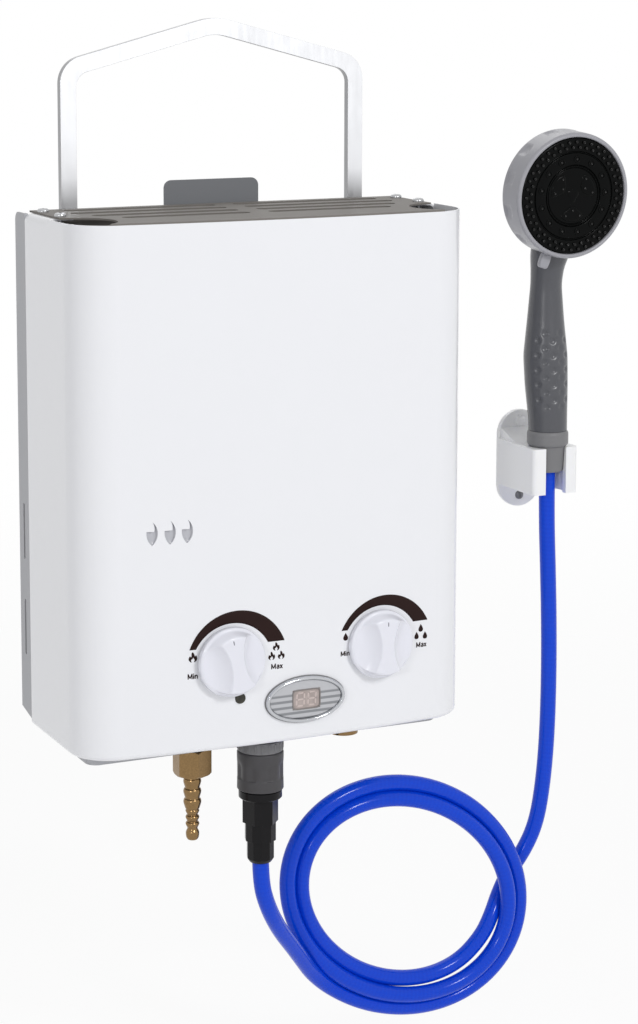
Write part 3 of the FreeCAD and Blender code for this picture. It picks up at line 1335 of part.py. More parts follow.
def grip_solid():
    """Grip and neck: a smooth loft through round and oval sections."""
    wires = []
    for drop, half_width, half_depth, forward in GRIP_SECTIONS:
        centre = V(HANDSET_X, HANDSET_Y - forward, Z_RIM - drop)
        side = centre + V(half_width, 0, 0)
        depth = centre + V(0, half_depth, 0)
        if half_depth > half_width:
            ring = Part.Ellipse(depth, side, centre)
        elif half_depth < half_width:
            ring = Part.Ellipse(side, depth, centre)
        else:
            ring = Part.Circle(centre, V(0, 0, 1), half_width)
        wires.append(Part.Wire(ring.toShape()))
    return Part.makeLoft(wires, True, False)


def handset_shell():
    """Grip and bowl of the head in one moulding, with the spigot that the ring turns on."""
    rim = -RING_D - FIT
    edge_r = RING_OUTER_R - 1
    sphere_r = (edge_r ** 2 + BOWL_D ** 2) / (2 * BOWL_D)
    ball = Part.makeSphere(sphere_r, V(0, 0, rim - BOWL_D + sphere_r))
    bowl = ball.common(Part.makeCylinder(RING_OUTER_R, BOWL_D, V(0, 0, rim - BOWL_D)))
    spigot = Part.makeCylinder(SPIGOT_HEAD_R, RING_D - FACE_T, V(0, 0, rim))
    ring_room = Part.makeCylinder(RING_OUTER_R + FIT, 2 * RING_D, V(0, 0, rim))
    grip = grip_solid().cut(head_part(ring_room))
    return fused([grip, head_part(bowl), head_part(spigot)])


def selector_ring():
    """Ring that turns to change the spray, scalloped outside, with a thumb tab."""
    ring = Part.makeCylinder(RING_OUTER_R, RING_D, V(0, 0, -RING_D))
    ring = ring.makeFillet(1.5, edges_where(ring, lambda p: p.z > -1))
    front_bore = Part.makeCylinder(FACE_R + RUNNING, FACE_T + FIT + 1, V(0, 0, -FACE_T - FIT))
    rear_bore = Part.makeCylinder(SPIGOT_HEAD_R + RUNNING, RING_D + 2, V(0, 0, -RING_D - 1))
    tab = box(-TAB_W / 2, TAB_W / 2, -RING_OUTER_R - TAB_REACH, -RING_OUTER_R + 2,
              -TAB_FROM - TAB_T, -TAB_FROM)
    end_edges = [edge for edge in tab.Edges
                 if edge.BoundBox.ZLength > TAB_T - 0.01 and edge.BoundBox.YMax < -RING_OUTER_R - 1]
    tab = tab.makeFillet(TAB_W / 2 - 0.5, end_edges)
    tab.rotate(V(0, 0, 0), V(0, 0, 1), TAB_TURN)
    cutters = [front_bore, rear_bore]
    reach = RING_OUTER_R - SCALLOP_DEPTH + SCALLOP_R
    for i in range(SCALLOPS):
        turn = 2 * math.pi * (i + 0.5) / SCALLOPS
        cutters.append(Part.makeCylinder(SCALLOP_R, RING_D * 0.6,
                                         V(reach * math.cos(turn), reach * math.sin(turn), -RING_D - 1)))
    return head_part(fused([ring, tab]).cut(cutters))


def spray_face():
    """Face disc with a stepped middle and a groove round it."""
    front = -FACE_SET
    back = front - FACE_T + FACE_SET
    groove = FACE_R * 0.76
    inner = FACE_R * 0.5
    profile = [(0, back), (FACE_R, back), (FACE_R, front), (groove + 1, front),
               (groove + 1, front - FACE_STEP), (groove, front - FACE_STEP), (groove, front),
               (inner + 1, front), (inner, front - FACE_STEP), (0, front - FACE_STEP)]
    return head_part(turned(profile))


def spray_nozzles():
    """Rubber ring of nozzles lying on the face's outer band."""
    outer = FACE_R - NOZZLE_RING_INSET
    inner = outer - NOZZLE_BAND
    low = -FACE_SET
    mat = turned([(inner, low), (outer, low), (outer, low + MAT_T), (inner, low + MAT_T)])
    middle = (outer + inner) / 2
    studs = []
    for i in range(NOZZLES):
        turn = 2 * math.pi * i / NOZZLES
        studs.append(Part.makeCylinder(FACE_NOZZLE_R, MAT_T + FACE_NOZZLE_H,
                                       V(middle * math.cos(turn), middle * math.sin(turn), low)))
    return head_part(fused([mat] + studs))


def handset_collar():
    top = Z_SEAT + HAND_COLLAR_H
    edge = 2.2
    profile = [(0, Z_SEAT), (HAND_COLLAR_R - edge, Z_SEAT), (HAND_COLLAR_R, Z_SEAT + edge),
               (HAND_COLLAR_R, top - edge), (GRIP_END_R, top), (0, top)]
    return turned(profile, HANDSET_X, HANDSET_Y)


def handset_nut():
    """Cone nut that joins the hose and rests in the holder."""
    low = Z_SEAT - CONE_H
    profile = [(0, Z_SEAT), (CONE_TOP_R, Z_SEAT), (CONE_END_R, low), (HOSE_R + HOSE_BORE_GAP, low),
               (HOSE_R + HOSE_BORE_GAP, low + HOSE_SEAT), (0, low + HOSE_SEAT)]
    return turned(profile, HANDSET_X, HANDSET_Y)


# ---------------------------------------------------------------- output
NODES = {
    "back_panel": back_panel,
    "hanger_plate": hanger_plate,
    "front_cover": front_cover,
    "top_grille": top_grille,
    "grille_screws": grille_screws,
    "base_tray": base_tray,
    "carry_handle": carry_handle,
    "handle_stop_pins": handle_stop_pins,
    "handle_guides": handle_guides,
    "gas_knob": gas_knob,
    "gas_knob_shaft": gas_knob_shaft,
    "water_knob": water_knob,
    "water_knob_shaft": water_knob_shaft,
    "gas_valve": gas_valve,
    "water_valve": water_valve,
    "display_bezel": display_bezel,
    "display_fascia": display_fascia,
    "display_window": display_window,
    "display_module": display_module,
    "sight_glass": sight_glass,
    "combustion_chamber": combustion_chamber,
    "burner_frame": burner_frame_with_ports,
    "burner_bars": burner_bars,
    "exchanger_pipe": exchanger_pipe,
    "exchanger_fins": exchanger_fins,
    "flue_hood": flue_hood,
    "gas_manifold": gas_manifold,
    "electrodes": electrodes,
    "igniter_module": igniter_module,
    "water_inlet_nipple": water_inlet_nipple,
    "cold_water_pipe": cold_water_pipe,
    "exchanger_feed_pipe": exchanger_feed_pipe,
    "hot_water_pipe": hot_water_pipe,
    "outlet_nipple": outlet_nipple,
    "gas_pipe": gas_pipe,
    "gas_inlet_nut": gas_inlet_nut,
    "gas_barb": gas_barb,
    "outlet_collar": outlet_collar,
    "connector_sleeve": connector_sleeve,
    "connector_ring": connector_ring,
    "connector_body": connector_body,
    "hose_nut": hose_nut,
    "hose_lead": hose_lead,
    "hose_coil": hose_coil,
    "hose_riser": hose_riser,
    "battery_box": battery_box,
    "battery_cells": battery_cells,
    "battery_lid": battery_lid,
    "battery_hinge_pin": battery_hinge_pin,
    "holder": holder,
    "handset_shell": handset_shell,
    "selector_ring": selector_ring,
    "spray_face": spray_face,
    "spray_nozzles": spray_nozzles,
    "handset_collar": handset_collar,
    "handset_nut": handset_nut,
}


def main():
    os.makedirs("parts", exist_ok=True)
    for name, build in NODES.items():
        shape = build()
        shape.exportStep(os.path.join("parts", name + ".step"))
        print(name, "solids", len(shape.Solids), "valid", shape.isValid())


main()
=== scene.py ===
"""Dresses the portable propane water heater: finishes, printed marks, knobs, hose, hand shower and studio."""

import json
import logging
import math
from collections.abc import Iterator
from contextlib import contextmanager
from dataclasses import dataclass
from enum import Enum

import bmesh
import bpy
import numpy as np
from mathutils import Matrix, Vector
from numpy.typing import ArrayLike


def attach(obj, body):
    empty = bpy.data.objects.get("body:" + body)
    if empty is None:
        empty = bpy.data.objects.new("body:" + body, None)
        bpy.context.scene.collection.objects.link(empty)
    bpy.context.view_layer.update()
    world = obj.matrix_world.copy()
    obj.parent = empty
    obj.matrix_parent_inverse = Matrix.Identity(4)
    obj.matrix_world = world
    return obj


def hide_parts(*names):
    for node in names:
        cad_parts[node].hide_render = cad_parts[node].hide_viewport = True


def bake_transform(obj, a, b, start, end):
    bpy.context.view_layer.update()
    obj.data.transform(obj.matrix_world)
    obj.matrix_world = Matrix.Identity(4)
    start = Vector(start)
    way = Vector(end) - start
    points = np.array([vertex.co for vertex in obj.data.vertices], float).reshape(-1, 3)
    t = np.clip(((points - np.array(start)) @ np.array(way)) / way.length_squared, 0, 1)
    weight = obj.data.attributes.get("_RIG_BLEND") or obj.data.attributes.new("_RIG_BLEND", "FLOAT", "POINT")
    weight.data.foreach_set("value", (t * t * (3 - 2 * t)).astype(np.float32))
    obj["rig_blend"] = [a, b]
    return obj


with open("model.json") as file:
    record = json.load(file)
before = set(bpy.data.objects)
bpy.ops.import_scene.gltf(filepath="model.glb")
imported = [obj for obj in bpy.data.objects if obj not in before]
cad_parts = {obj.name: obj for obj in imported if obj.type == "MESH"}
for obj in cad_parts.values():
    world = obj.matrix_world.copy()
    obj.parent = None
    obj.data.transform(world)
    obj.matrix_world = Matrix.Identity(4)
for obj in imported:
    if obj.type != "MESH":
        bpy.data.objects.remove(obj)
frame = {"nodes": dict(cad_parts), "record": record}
LOG = logging.getLogger("water_heater")
MM = 0.001
FULL = 2.0 * math.pi
Colour = tuple[float, float, float]
Point = tuple[float, float, float]
Pair = tuple[float, float]


def paint(code: str) -> Colour:
    """Linear colour of a six-digit sRGB code.

    Args:
        code: two hexadecimal digits each for red, green and blue.

    Returns:
        The three linear values, 0 to 1.
    """
    values = np.array([int(code[k:k + 2], 16) for k in (0, 2, 4)]) / 255.0
    linear = np.where(values <= 0.04045, values / 12.92, ((values + 0.055) / 1.055) ** 2.4)
    return tuple(float(v) for v in linear)


def dimmed(colour: Colour, share: float) -> Colour:
    """The colour with each of its values times share."""
    return tuple(min(1.0, v * share) for v in colour)


# ---------------------------------------------------------------- node graphs


class Graph:
    """A material's shader nodes, added and joined by short calls."""

    def __init__(self, name: str) -> None:
        """Starts a material with one Principled shader."""
        self.material = bpy.data.materials.new(name)
        self.material.use_nodes = True
        self.tree = self.material.node_tree
        self.shader = next(n for n in self.tree.nodes if n.type == "BSDF_PRINCIPLED")

    def feed(self, socket: bpy.types.NodeSocket, value: object) -> None:
        """Joins a socket to value if value is a socket, or else sets it.

        Args:
            socket: the input that is fed.
            value: an output socket, or a number or colour.
        """
        if isinstance(value, bpy.types.NodeSocket):
            self.tree.links.new(value, socket)
        else:
            socket.default_value = value

    def node(self, kind: str, inputs: dict[object, object], **settings: object) -> bpy.types.Node:
        """Adds a node.

        Args:
            kind: its type, such as ShaderNodeTexNoise.
            inputs: a value or a socket for each named or numbered input.
            settings: its attributes.

        Returns:
            The new node.
        """
        made = self.tree.nodes.new(kind)
        for key, value in settings.items():
            setattr(made, key, value)
        for key, value in inputs.items():
            self.feed(made.inputs[key], value)
        return made

    def set(self, **values: object) -> None:
        """Sets the shader's own inputs.

        Args:
            values: each input's value or socket, its name given with _ for a space.
        """
        for key, value in values.items():
            if isinstance(value, tuple) and len(value) == 3 and "Radius" not in key:
                value = (*value, 1.0)
            self.feed(self.shader.inputs[key.replace("_", " ")], value)

    def place(self, scale: Point = (1.0, 1.0, 1.0)) -> bpy.types.NodeSocket:
        """Object coordinates, stretched along x, y and z by scale."""
        source = self.node("ShaderNodeTexCoord", {}).outputs["Object"]
        return self.node("ShaderNodeMapping", {"Vector": source, "Scale": scale}).outputs["Vector"]

    def noise(self, where: bpy.types.NodeSocket, scale: float, detail: float = 3.0,
              rough: float = 0.5) -> bpy.types.NodeSocket:
        """Noise as a value 0 to 1, of scale waves per metre, detail octaves and roughness rough."""
        return self.node("ShaderNodeTexNoise", {"Vector": where, "Scale": scale, "Detail": detail,
                                                "Roughness": rough}).outputs["Fac"]

    def math(self, operation: str, a: object, b: object = 0.0) -> bpy.types.NodeSocket:
        """One arithmetic step on one or two values or sockets."""
        return self.node("ShaderNodeMath", {0: a, 1: b}, operation=operation).outputs[0]

    def spread(self, value: bpy.types.NodeSocket, low: float, high: float,
               start: float = 0.0, end: float = 1.0, kind: str = "LINEAR") -> bpy.types.NodeSocket:
        """Carries the range start to end over to low to high, by a LINEAR or SMOOTHSTEP ramp."""
        return self.node("ShaderNodeMapRange", {0: value, 1: start, 2: end, 3: low, 4: high},
                         interpolation_type=kind).outputs[0]

    def tone(self, share: bpy.types.NodeSocket, colour: Colour, low: float,
             high: float) -> bpy.types.NodeSocket:
        """The colour times low where share is 0, and times high where it is 1."""
        return self.mix(share, dimmed(colour, low), dimmed(colour, high))

    def mix(self, share: object, first: object, second: object) -> bpy.types.NodeSocket:
        """Mixes two colours.

        Args:
            share: how much of the second, 0 to 1.
            first: a colour or a socket.
            second: a colour or a socket.

        Returns:
            The mixed colour.
        """
        made = self.node("ShaderNodeMix", {}, data_type="RGBA")
        for socket, value in ((made.inputs[0], share), (made.inputs[6], first), (made.inputs[7], second)):
            self.feed(socket, (*value, 1.0) if isinstance(value, tuple) and len(value) == 3 else value)
        return made.outputs[2]

    def bump(self, height: bpy.types.NodeSocket, depth: float, strength: float = 1.0) -> bpy.types.NodeSocket:
        """The normal of a surface that height raises by up to depth, in metres, times strength."""
        return self.node("ShaderNodeBump", {"Height": height, "Distance": depth,
                                            "Strength": strength}).outputs["Normal"]


# ---------------------------------------------------------------- finishes


@dataclass(frozen=True)
class Enamel:
    """Baked enamel on sheet steel: an even colour that drifts a little, a fine orange peel, soft gloss."""

    colour: Colour
    roughness: float = 0.32
    peel: float = 0.012
    coat: float = 0.35
    shine: float = 0.5

    def fill(self, g: Graph) -> None:
        """Colour and gloss drift with a slow noise; the peel is a fine noise in the bump.

        Args:
            g: the material's graph.
        """
        where = g.place()
        g.set(Base_Color=g.tone(g.noise(where, 9.0, 2.0), self.colour, 0.992, 1.006),
              Roughness=g.spread(g.noise(where, 45.0, 2.0), self.roughness * 0.96, self.roughness * 1.04),
              Normal=g.bump(g.noise(where, 620.0, 2.0), self.peel * MM), Coat_Weight=self.coat,
              Coat_Roughness=0.1, Specular_IOR_Level=self.shine)


@dataclass(frozen=True)
class DrawnMetal:
    """Rolled or drawn metal: hair lines along one direction, and a mottled gloss."""

    colour: Colour
    roughness: float = 0.28
    lines: Point = (40.0, 900.0, 900.0)
    depth: float = 0.004
    stain: float = 0.9
    # side: share of the colour left on the marked sides; foot: heights over which the legs darken; both are
    # painted shade
    side: float = 1.0
    foot: Pair = (0.03, 0.056)

    def fill(self, g: Graph) -> None:
        """Hair lines are a noise stretched along the axis of lowest scale; the marked sides and the foot are
        dimmed as painted shade.

        Args:
            g: the material's graph.
        """
        hair = g.noise(g.place(self.lines), 1.0, 4.0, 0.6)
        cloud = g.noise(g.place(), 28.0, 4.0, 0.6)
        colour = g.tone(cloud, self.colour, self.stain, 1.0)
        # painted shade: the marked sides, and the legs near the top plate, are dimmed towards side times the
        # colour
        if self.side < 1.0:
            mark = g.node("ShaderNodeAttribute", {}, attribute_name="shaded_side").outputs["Fac"]
            height = g.node("ShaderNodeSeparateXYZ", {0: g.place()}).outputs["Z"]
            low = g.spread(height, 0.85, 0.0, *self.foot)
            colour = g.mix(g.math("MAXIMUM", mark, low), colour, dimmed(self.colour, self.side))
        g.set(Base_Color=colour, Metallic=1.0, Normal=g.bump(hair, self.depth * MM),
              Roughness=g.spread(g.math("ADD", hair, cloud), self.roughness * 0.75, self.roughness * 1.35,
                                 0.6, 1.4))


@dataclass(frozen=True)
class CastMetal:
    """Cast or machined metal with a pebbled skin and darker hollows."""

    colour: Colour
    roughness: float = 0.38
    grain: float = 700.0
    depth: float = 0.02

    def fill(self, g: Graph) -> None:
        """The skin is a fine noise in the bump, and the same noise darkens the hollows.

        Args:
            g: the material's graph.
        """
        where = g.place()
        skin = g.noise(where, self.grain, 3.0, 0.6)
        g.set(Base_Color=g.tone(g.spread(skin, 0.0, 1.0, 0.35, 0.6), self.colour, 0.82, 1.0), Metallic=1.0,
              Roughness=g.spread(g.noise(where, 60.0), self.roughness * 0.8, self.roughness * 1.25, 0.3, 0.7),
              Normal=g.bump(skin, self.depth * MM))


@dataclass(frozen=True)
class Moulded:
    """Moulded plastic: a spark-eroded fine grain, slow colour drift and a thin glow inside when pale."""

    colour: Colour
    roughness: float = 0.35
    grain: float = 900.0
    depth: float = 0.01
    glow: float = 0.0
    coat: float = 0.0
    shine: float = 0.5
    drift: float = 0.05

    def fill(self, g: Graph) -> None:
        """The grain is a fine noise in the bump; pale plastic scatters light a little inside.

        Args:
            g: the material's graph.
        """
        where = g.place()
        g.set(Base_Color=g.tone(g.noise(where, 22.0), self.colour, 1 - self.drift, 1 + self.drift),
              Roughness=g.spread(g.noise(where, 130.0), self.roughness * (1 - 2 * self.drift),
                                 self.roughness * (1 + 2 * self.drift)),
              Normal=g.bump(g.noise(where, self.grain, 2.0, 0.6), self.depth * MM),
              Subsurface_Weight=self.glow, Subsurface_Radius=(0.0012, 0.0012, 0.0013), Subsurface_Scale=0.5,
              Coat_Weight=self.coat, Coat_Roughness=0.08, Specular_IOR_Level=self.shine)


@dataclass(frozen=True)
class Ink:
    """Screen-printed ink: a dark even film with a fine grain of gloss."""

    colour: Colour
    roughness: float = 0.45

    def fill(self, g: Graph) -> None:
        """A slow noise shifts the film's tone, and a fine one its gloss.

        Args:
            g: the material's graph.
        """
        where = g.place()
        g.set(Base_Color=g.tone(g.noise(where, 60.0), self.colour, 0.85, 1.15),
              Roughness=g.spread(g.noise(where, 900.0, 2.0), self.roughness * 0.8, self.roughness * 1.2),
              Normal=g.bump(g.noise(where, 1500.0, 2.0), 0.004 * MM), Specular_IOR_Level=0.12)


@dataclass(frozen=True)
class StripedFoil:
    """Silver foil with printed cross lines: dull lines at an even pitch below a given height."""

    bright: Colour
    dull: Colour
    first: float
    pitch: float = 4.2
    top: float = 4.4
    roughness: float = 0.34

    def fill(self, g: Graph) -> None:
        """A line is where the cosine of the height over the pitch is near 1; a ramp ends them above top.

        Args:
            g: the material's graph.
        """
        height = g.node("ShaderNodeSeparateXYZ", {"Vector": g.place()}).outputs["Z"]
        above = g.math("SUBTRACT", height, self.first * MM)
        wave = g.math("COSINE", g.math("MULTIPLY", above, FULL / (self.pitch * MM)))
        line = g.spread(wave, 0.0, 1.0, -0.1, 0.5, "SMOOTHSTEP")
        ends = g.spread(above, 1.0, 0.0, self.top * MM, (self.top + 1.2) * MM)
        share = g.math("MULTIPLY", line, ends)
        brushed = g.noise(g.place((60.0, 60.0, 2400.0)), 1.0)
        g.set(Base_Color=g.mix(share, self.bright, self.dull), Metallic=0.3,
              Roughness=g.spread(brushed, self.roughness * 0.8, self.roughness * 1.25),
              Normal=g.bump(share, 0.03 * MM, 0.6))


@dataclass(frozen=True)
class Glass:
    """A tinted display pane or sight glass: smooth, with a cloudy depth."""

    colour: Colour
    deep: Colour
    grain: float = 180.0

    def fill(self, g: Graph) -> None:
        """Two tones mixed by a noise stand for what lies behind the pane.

        Args:
            g: the material's graph.
        """
        where = g.place()
        cloud = g.spread(g.noise(where, self.grain), 0.0, 1.0, 0.35, 0.65)
        g.set(Base_Color=g.mix(cloud, self.deep, self.colour), Specular_IOR_Level=0.3, Coat_Weight=0.15,
              Roughness=g.spread(g.noise(where, 90.0), 0.05, 0.12), Coat_Roughness=0.03)


@dataclass(frozen=True)
class HoseSkin:
    """Clear blue hose wall over a wound liner: glossy, with turns of darker and lighter blue."""

    colour: Colour
    light: Colour
    pitch: float = 3.4

    def fill(self, g: Graph) -> None:
        """The winding follows the piece's own map: the length plus a share of the turn gives a helix.

        Args:
            g: the material's graph.
        """
        uv = g.node("ShaderNodeUVMap", {}, uv_map="along").outputs["UV"]
        parts = g.node("ShaderNodeSeparateXYZ", {"Vector": uv})
        turn = g.math("ADD", g.math("DIVIDE", parts.outputs["X"], self.pitch * MM), parts.outputs["Y"])
        wave = g.math("SINE", g.math("MULTIPLY", turn, FULL))
        band = g.spread(wave, 0.0, 1.0, -0.8, 0.9, "SMOOTHSTEP")
        mottle = g.noise(uv, 160.0)
        tone = g.mix(g.math("MULTIPLY", band, g.spread(mottle, 0.2, 0.7)), self.colour, self.light)
        g.set(Base_Color=tone, Roughness=g.spread(mottle, 0.12, 0.18),
              Normal=g.bump(band, 0.006 * MM, 0.5), Specular_IOR_Level=0.22)


class Finish(Enum):
    """The finish of each of the record's material slots, and of the printed marks."""

    WHITE_ENAMEL = Enamel(paint("f0f1f5"), 0.26, 0.008, 0.4)
    GREY_ENAMEL = Enamel(paint("b6b7bb"), 0.42, 0.008, 0.0, 0.2)
    GRILLE_ENAMEL = Enamel(paint("7f7b77"), 0.5, 0.014, 0.0, 0.08)
    HANGER_ENAMEL = Enamel(paint("7f8185"), 0.42, 0.008, 0.0, 0.15)
    # painted shade: the scoops are pressed in the white cover, and this grey stands for the shade in their
    # hollows
    VENT_GREY = Enamel(paint("c3c4ca"), 0.35, 0.008, 0.2)
    # its last value dims the bar's sides and the foot of its legs: painted shade
    HANDLE_STEEL = DrawnMetal(paint("e4e5e8"), 0.32, (260.0, 900.0, 30.0), 0.002, 0.98, 0.4)
    SMALL_STEEL = DrawnMetal(paint("b9babc"), 0.26, (500.0, 500.0, 500.0), 0.003)
    # painted shade: darker than bare steel, so the inside seen through the top plate's slots reads as shaded
    INNER_STEEL = DrawnMetal(paint("5f5a55"), 0.5, (60.0, 700.0, 700.0))
    BRIGHT_CHROME = DrawnMetal(paint("c3c5c9"), 0.09, (300.0, 300.0, 300.0), 0.0015, 0.95)
    COPPER = DrawnMetal(paint("b56f4b"), 0.32, (500.0, 500.0, 60.0))
    BRASS = CastMetal(paint("8f7450"), 0.22, 900.0, 0.0015)
    CAST_ALUMINIUM = CastMetal(paint("9d9d9f"), 0.44)
    WHITE_PLASTIC = Moulded(paint("e9eaf3"), 0.24, 800.0, 0.003, 0.05, 0.3, 0.5, 0.008)
    # painted light: a brighter copy of the white plastic, with more light scattered inside, lifts the holder
    # out of the casing's shade
    HOLDER_WHITE = Moulded(paint("f6f7fa"), 0.3, 800.0, 0.003, 0.5, 0.2, 0.5, 0.004)
    LIGHT_GREY_PLASTIC = Moulded(paint("9f9fa5"), 0.3, 900.0, 0.004, 0.0, 0.0, 0.4, 0.01)
    MID_GREY_PLASTIC = Moulded(paint("7b7b7d"), 0.42, 900.0, 0.012, 0.0, 0.0, 0.3)
    DARK_GREY_PLASTIC = Moulded(paint("4c4b4d"), 0.42, 1200.0, 0.012, 0.0, 0.0, 0.2)
    GRIP_GREY = Moulded(paint("515257"), 0.26, 1200.0, 0.006, 0.0, 0.0, 0.5, 0.02)
    BLACK_PLASTIC = Moulded(paint("141315"), 0.26, 1000.0, 0.006, 0.0, 0.0, 0.16)
    FACE_BLACK = Moulded(paint("070808"), 0.2, 1000.0, 0.003, 0.0, 0.0, 0.07)
    BLACK_RUBBER = Moulded(paint("060606"), 0.22, 1300.0, 0.006, 0.0, 0.0, 0.3)
    CERAMIC_WHITE = Moulded(paint("e6e2d8"), 0.22, 500.0, 0.006, 0.0, 0.4)
    CELL_WRAP = Moulded(paint("3a4150"), 0.25, 300.0, 0.003, 0.0, 0.6)
    SILVER_PLASTIC = StripedFoil(paint("c0c1c5"), paint("8b8d91"), -295.3)
    DISPLAY_GLASS = Glass(paint("b7aaa6"), paint("a89c98"))
    SIGHT_DARK = Glass(paint("4c4a3e"), paint("2b2a24"))
    BLUE_HOSE = HoseSkin(paint("0643d2"), paint("0849d8"))
    PRINT_BROWN = Ink(paint("281816"))
    PRINT_GREY = Ink(paint("8a8b94"))
    DIGIT_PALE = Ink(paint("cfc1bd"))
    BORDER_GREY = Ink(paint("8c8785"))

    def made(self) -> bpy.types.Material:
        """The finish's material, made once.

        Returns:
            The material, named after the finish.
        """
        name = self.name.lower() + "_finish"
        if name not in bpy.data.materials:
            self.value.fill(Graph(name))
        return bpy.data.materials[name]


# ---------------------------------------------------------------- surfaces


@contextmanager
def opened(mesh: bpy.types.Mesh) -> Iterator[bmesh.types.BMesh]:
    """Opens a mesh for editing and writes it back at the end.

    Args:
        mesh: the mesh.

    Yields:
        Its bmesh.
    """
    shape = bmesh.new()
    shape.from_mesh(mesh)
    yield shape
    shape.to_mesh(mesh)
    shape.free()


def linked(name: str, data: bpy.types.ID) -> bpy.types.Object:
    """Makes an object and links it to the scene.

    Args:
        name: its name.
        data: its mesh, curve, lamp or camera.

    Returns:
        The object.
    """
    made = bpy.data.objects.new(name, data)
    bpy.context.scene.collection.objects.link(made)
    return made


class Shape:
    """Corners and faces gathered from grids in millimetres, and made into one mesh at the end."""

    def __init__(self) -> None:
        """Starts empty."""
        self.corners: list[np.ndarray] = []
        self.faces: list[list[int]] = []
        self.count = 0

    def grid(self, points: np.ndarray, ring: bool = False, loop: bool = False,
             capped: bool = False) -> "Shape":
        """Adds a grid of quads, or one for each leading index.

        Row i runs along the shape and column j across or round it. A quad joins (i, j), (i+1, j),
        (i+1, j+1) and (i, j+1), so its normal is the step along i crossed with the step along j.

        Args:
            points: any leading sizes x rows x columns x 3.
            ring: the last column joins the first.
            loop: the last row joins the first.
            capped: each end row of a ring is closed by a fan to its middle.

        Returns:
            The shape itself.
        """
        points = points.reshape(-1, *points.shape[-3:])
        copies, rows, cols = points.shape[:3]
        i, j = np.meshgrid(np.arange(rows if loop else rows - 1), np.arange(cols if ring else cols - 1),
                           indexing="ij")
        after, beside = (i + 1) % rows, (j + 1) % cols
        quads = np.stack([i * cols + j, after * cols + j, after * cols + beside, i * cols + beside], -1)
        block, size = points.reshape(copies, rows * cols, 3), rows * cols
        fans = np.zeros((0, 3), int)
        if capped:
            around = np.arange(cols)
            following, base = (around + 1) % cols, (rows - 1) * cols
            block = np.concatenate([block, points[:, :1].mean(2), points[:, -1:].mean(2)], 1)
            fans = np.vstack([np.stack([np.full(cols, size), around, following], -1),
                              np.stack([np.full(cols, size + 1), base + following, base + around], -1)])
            size += 2
        shift = self.count + size * np.arange(copies)[:, None, None]
        self.faces += (quads.reshape(1, -1, 4) + shift).reshape(-1, 4).tolist()
        self.faces += (fans[None] + shift).reshape(-1, 3).tolist()
        self.corners.append(block.reshape(-1, 3))
        self.count += copies * size
        return self

    def solid(self, points: np.ndarray) -> "Shape":
        """Adds rings that are closed by a cap at either end."""
        return self.grid(points, ring=True, capped=True)

    def band(self, points: np.ndarray) -> "Shape":
        """Adds rings of which the last joins the first."""
        return self.grid(points, ring=True, loop=True)

    def make(self, name: str, crisp: float = 0.0, closed: bool = True) -> bpy.types.Object:
        """Makes the mesh, smooth but for crisp edges.

        Args:
            name: the piece's name.
            crisp: faces that meet at more degrees than this keep a crisp edge, or 0 for none.
            closed: its shells are closed, and their faces are turned outwards.

        Returns:
            The new object.
        """
        mesh = bpy.data.meshes.new(name)
        mesh.from_pydata((np.vstack(self.corners) * MM).tolist(), [], self.faces)
        with opened(mesh) as shape:
            bmesh.ops.remove_doubles(shape, verts=shape.verts, dist=1e-7)
            if closed:
                bmesh.ops.recalc_face_normals(shape, faces=shape.faces)
        mesh.shade_smooth()
        if crisp:
            mesh.set_sharp_from_angle(angle=math.radians(crisp))
        return linked(name, mesh)

    def piece(self, name: str, body: str, finish: Finish, stands_for: tuple[str, ...] = (), slot: str = "",
              crisp: float = 0.0) -> bpy.types.Object:
        """Makes the closed mesh and finishes it."""
        return finished(self.make(name, crisp), body, finish, stands_for, slot)


def eased(line: ArrayLike, reach: float, steps: int = 5, closed: bool = False) -> np.ndarray:
    """Rounds the corners of a line by short parabolas.

    Corner P with ends P0 and P1, each reach or 45 % of its run away, becomes the points
    (1-t)^2 P0 + 2t(1-t) P + t^2 P1.

    Args:
        line: corners x any number of values.
        reach: distance from a corner to the ends of its round.
        steps: points on each round.
        closed: the last corner joins the first.

    Returns:
        The denser line.
    """
    line = np.asarray(line, float)
    back, ahead = np.roll(line, 1, 0) - line, np.roll(line, -1, 0) - line
    cut = [np.minimum(reach / np.maximum(np.linalg.norm(d, axis=1, keepdims=True), 1e-9), 0.45) * d
           for d in (back, ahead)]
    t = np.linspace(0.0, 1.0, steps)[None, :, None]
    first, last = (line + cut[0])[:, None], (line + cut[1])[:, None]
    curve = (1 - t) ** 2 * first + 2 * t * (1 - t) * line[:, None] + t ** 2 * last
    if closed:
        return curve.reshape(-1, line.shape[1])
    return np.vstack([line[:1], curve[1:-1].reshape(-1, line.shape[1]), line[-1:]])


def sampled(line: np.ndarray, run: np.ndarray, where: np.ndarray) -> np.ndarray:
    """The values of a line, known at run, at the places in where."""
    return np.stack([np.interp(where, run, column) for column in line.T], 1)


def filled(line: ArrayLike, step: float) -> np.ndarray:
    """The line with points no further than step apart, its own corners kept.

    Args:
        line: corners x any number of values.
        step: the longest run between points.

    Returns:
        The denser line.
    """
    line = np.asarray(line, float)
    parts = np.maximum(np.ceil(np.linalg.norm(np.diff(line, axis=0), axis=1) / step), 1).astype(int)
    where = [np.linspace(k, k + 1, n, endpoint=False) for k, n in enumerate(parts)]
    return sampled(line, np.arange(len(line)), np.concatenate([*where, [len(parts)]]))


def lengths_along(path: np.ndarray) -> np.ndarray:
    """Distance along the path to each of its points."""
    return np.concatenate([[0.0], np.cumsum(np.linalg.norm(np.diff(path, axis=0), axis=1))])


def evenly(line: np.ndarray, count: int) -> np.ndarray:
    """The line as count points at even steps of its length."""
    run = lengths_along(line)
    return sampled(line, run, np.linspace(0.0, run[-1], count))


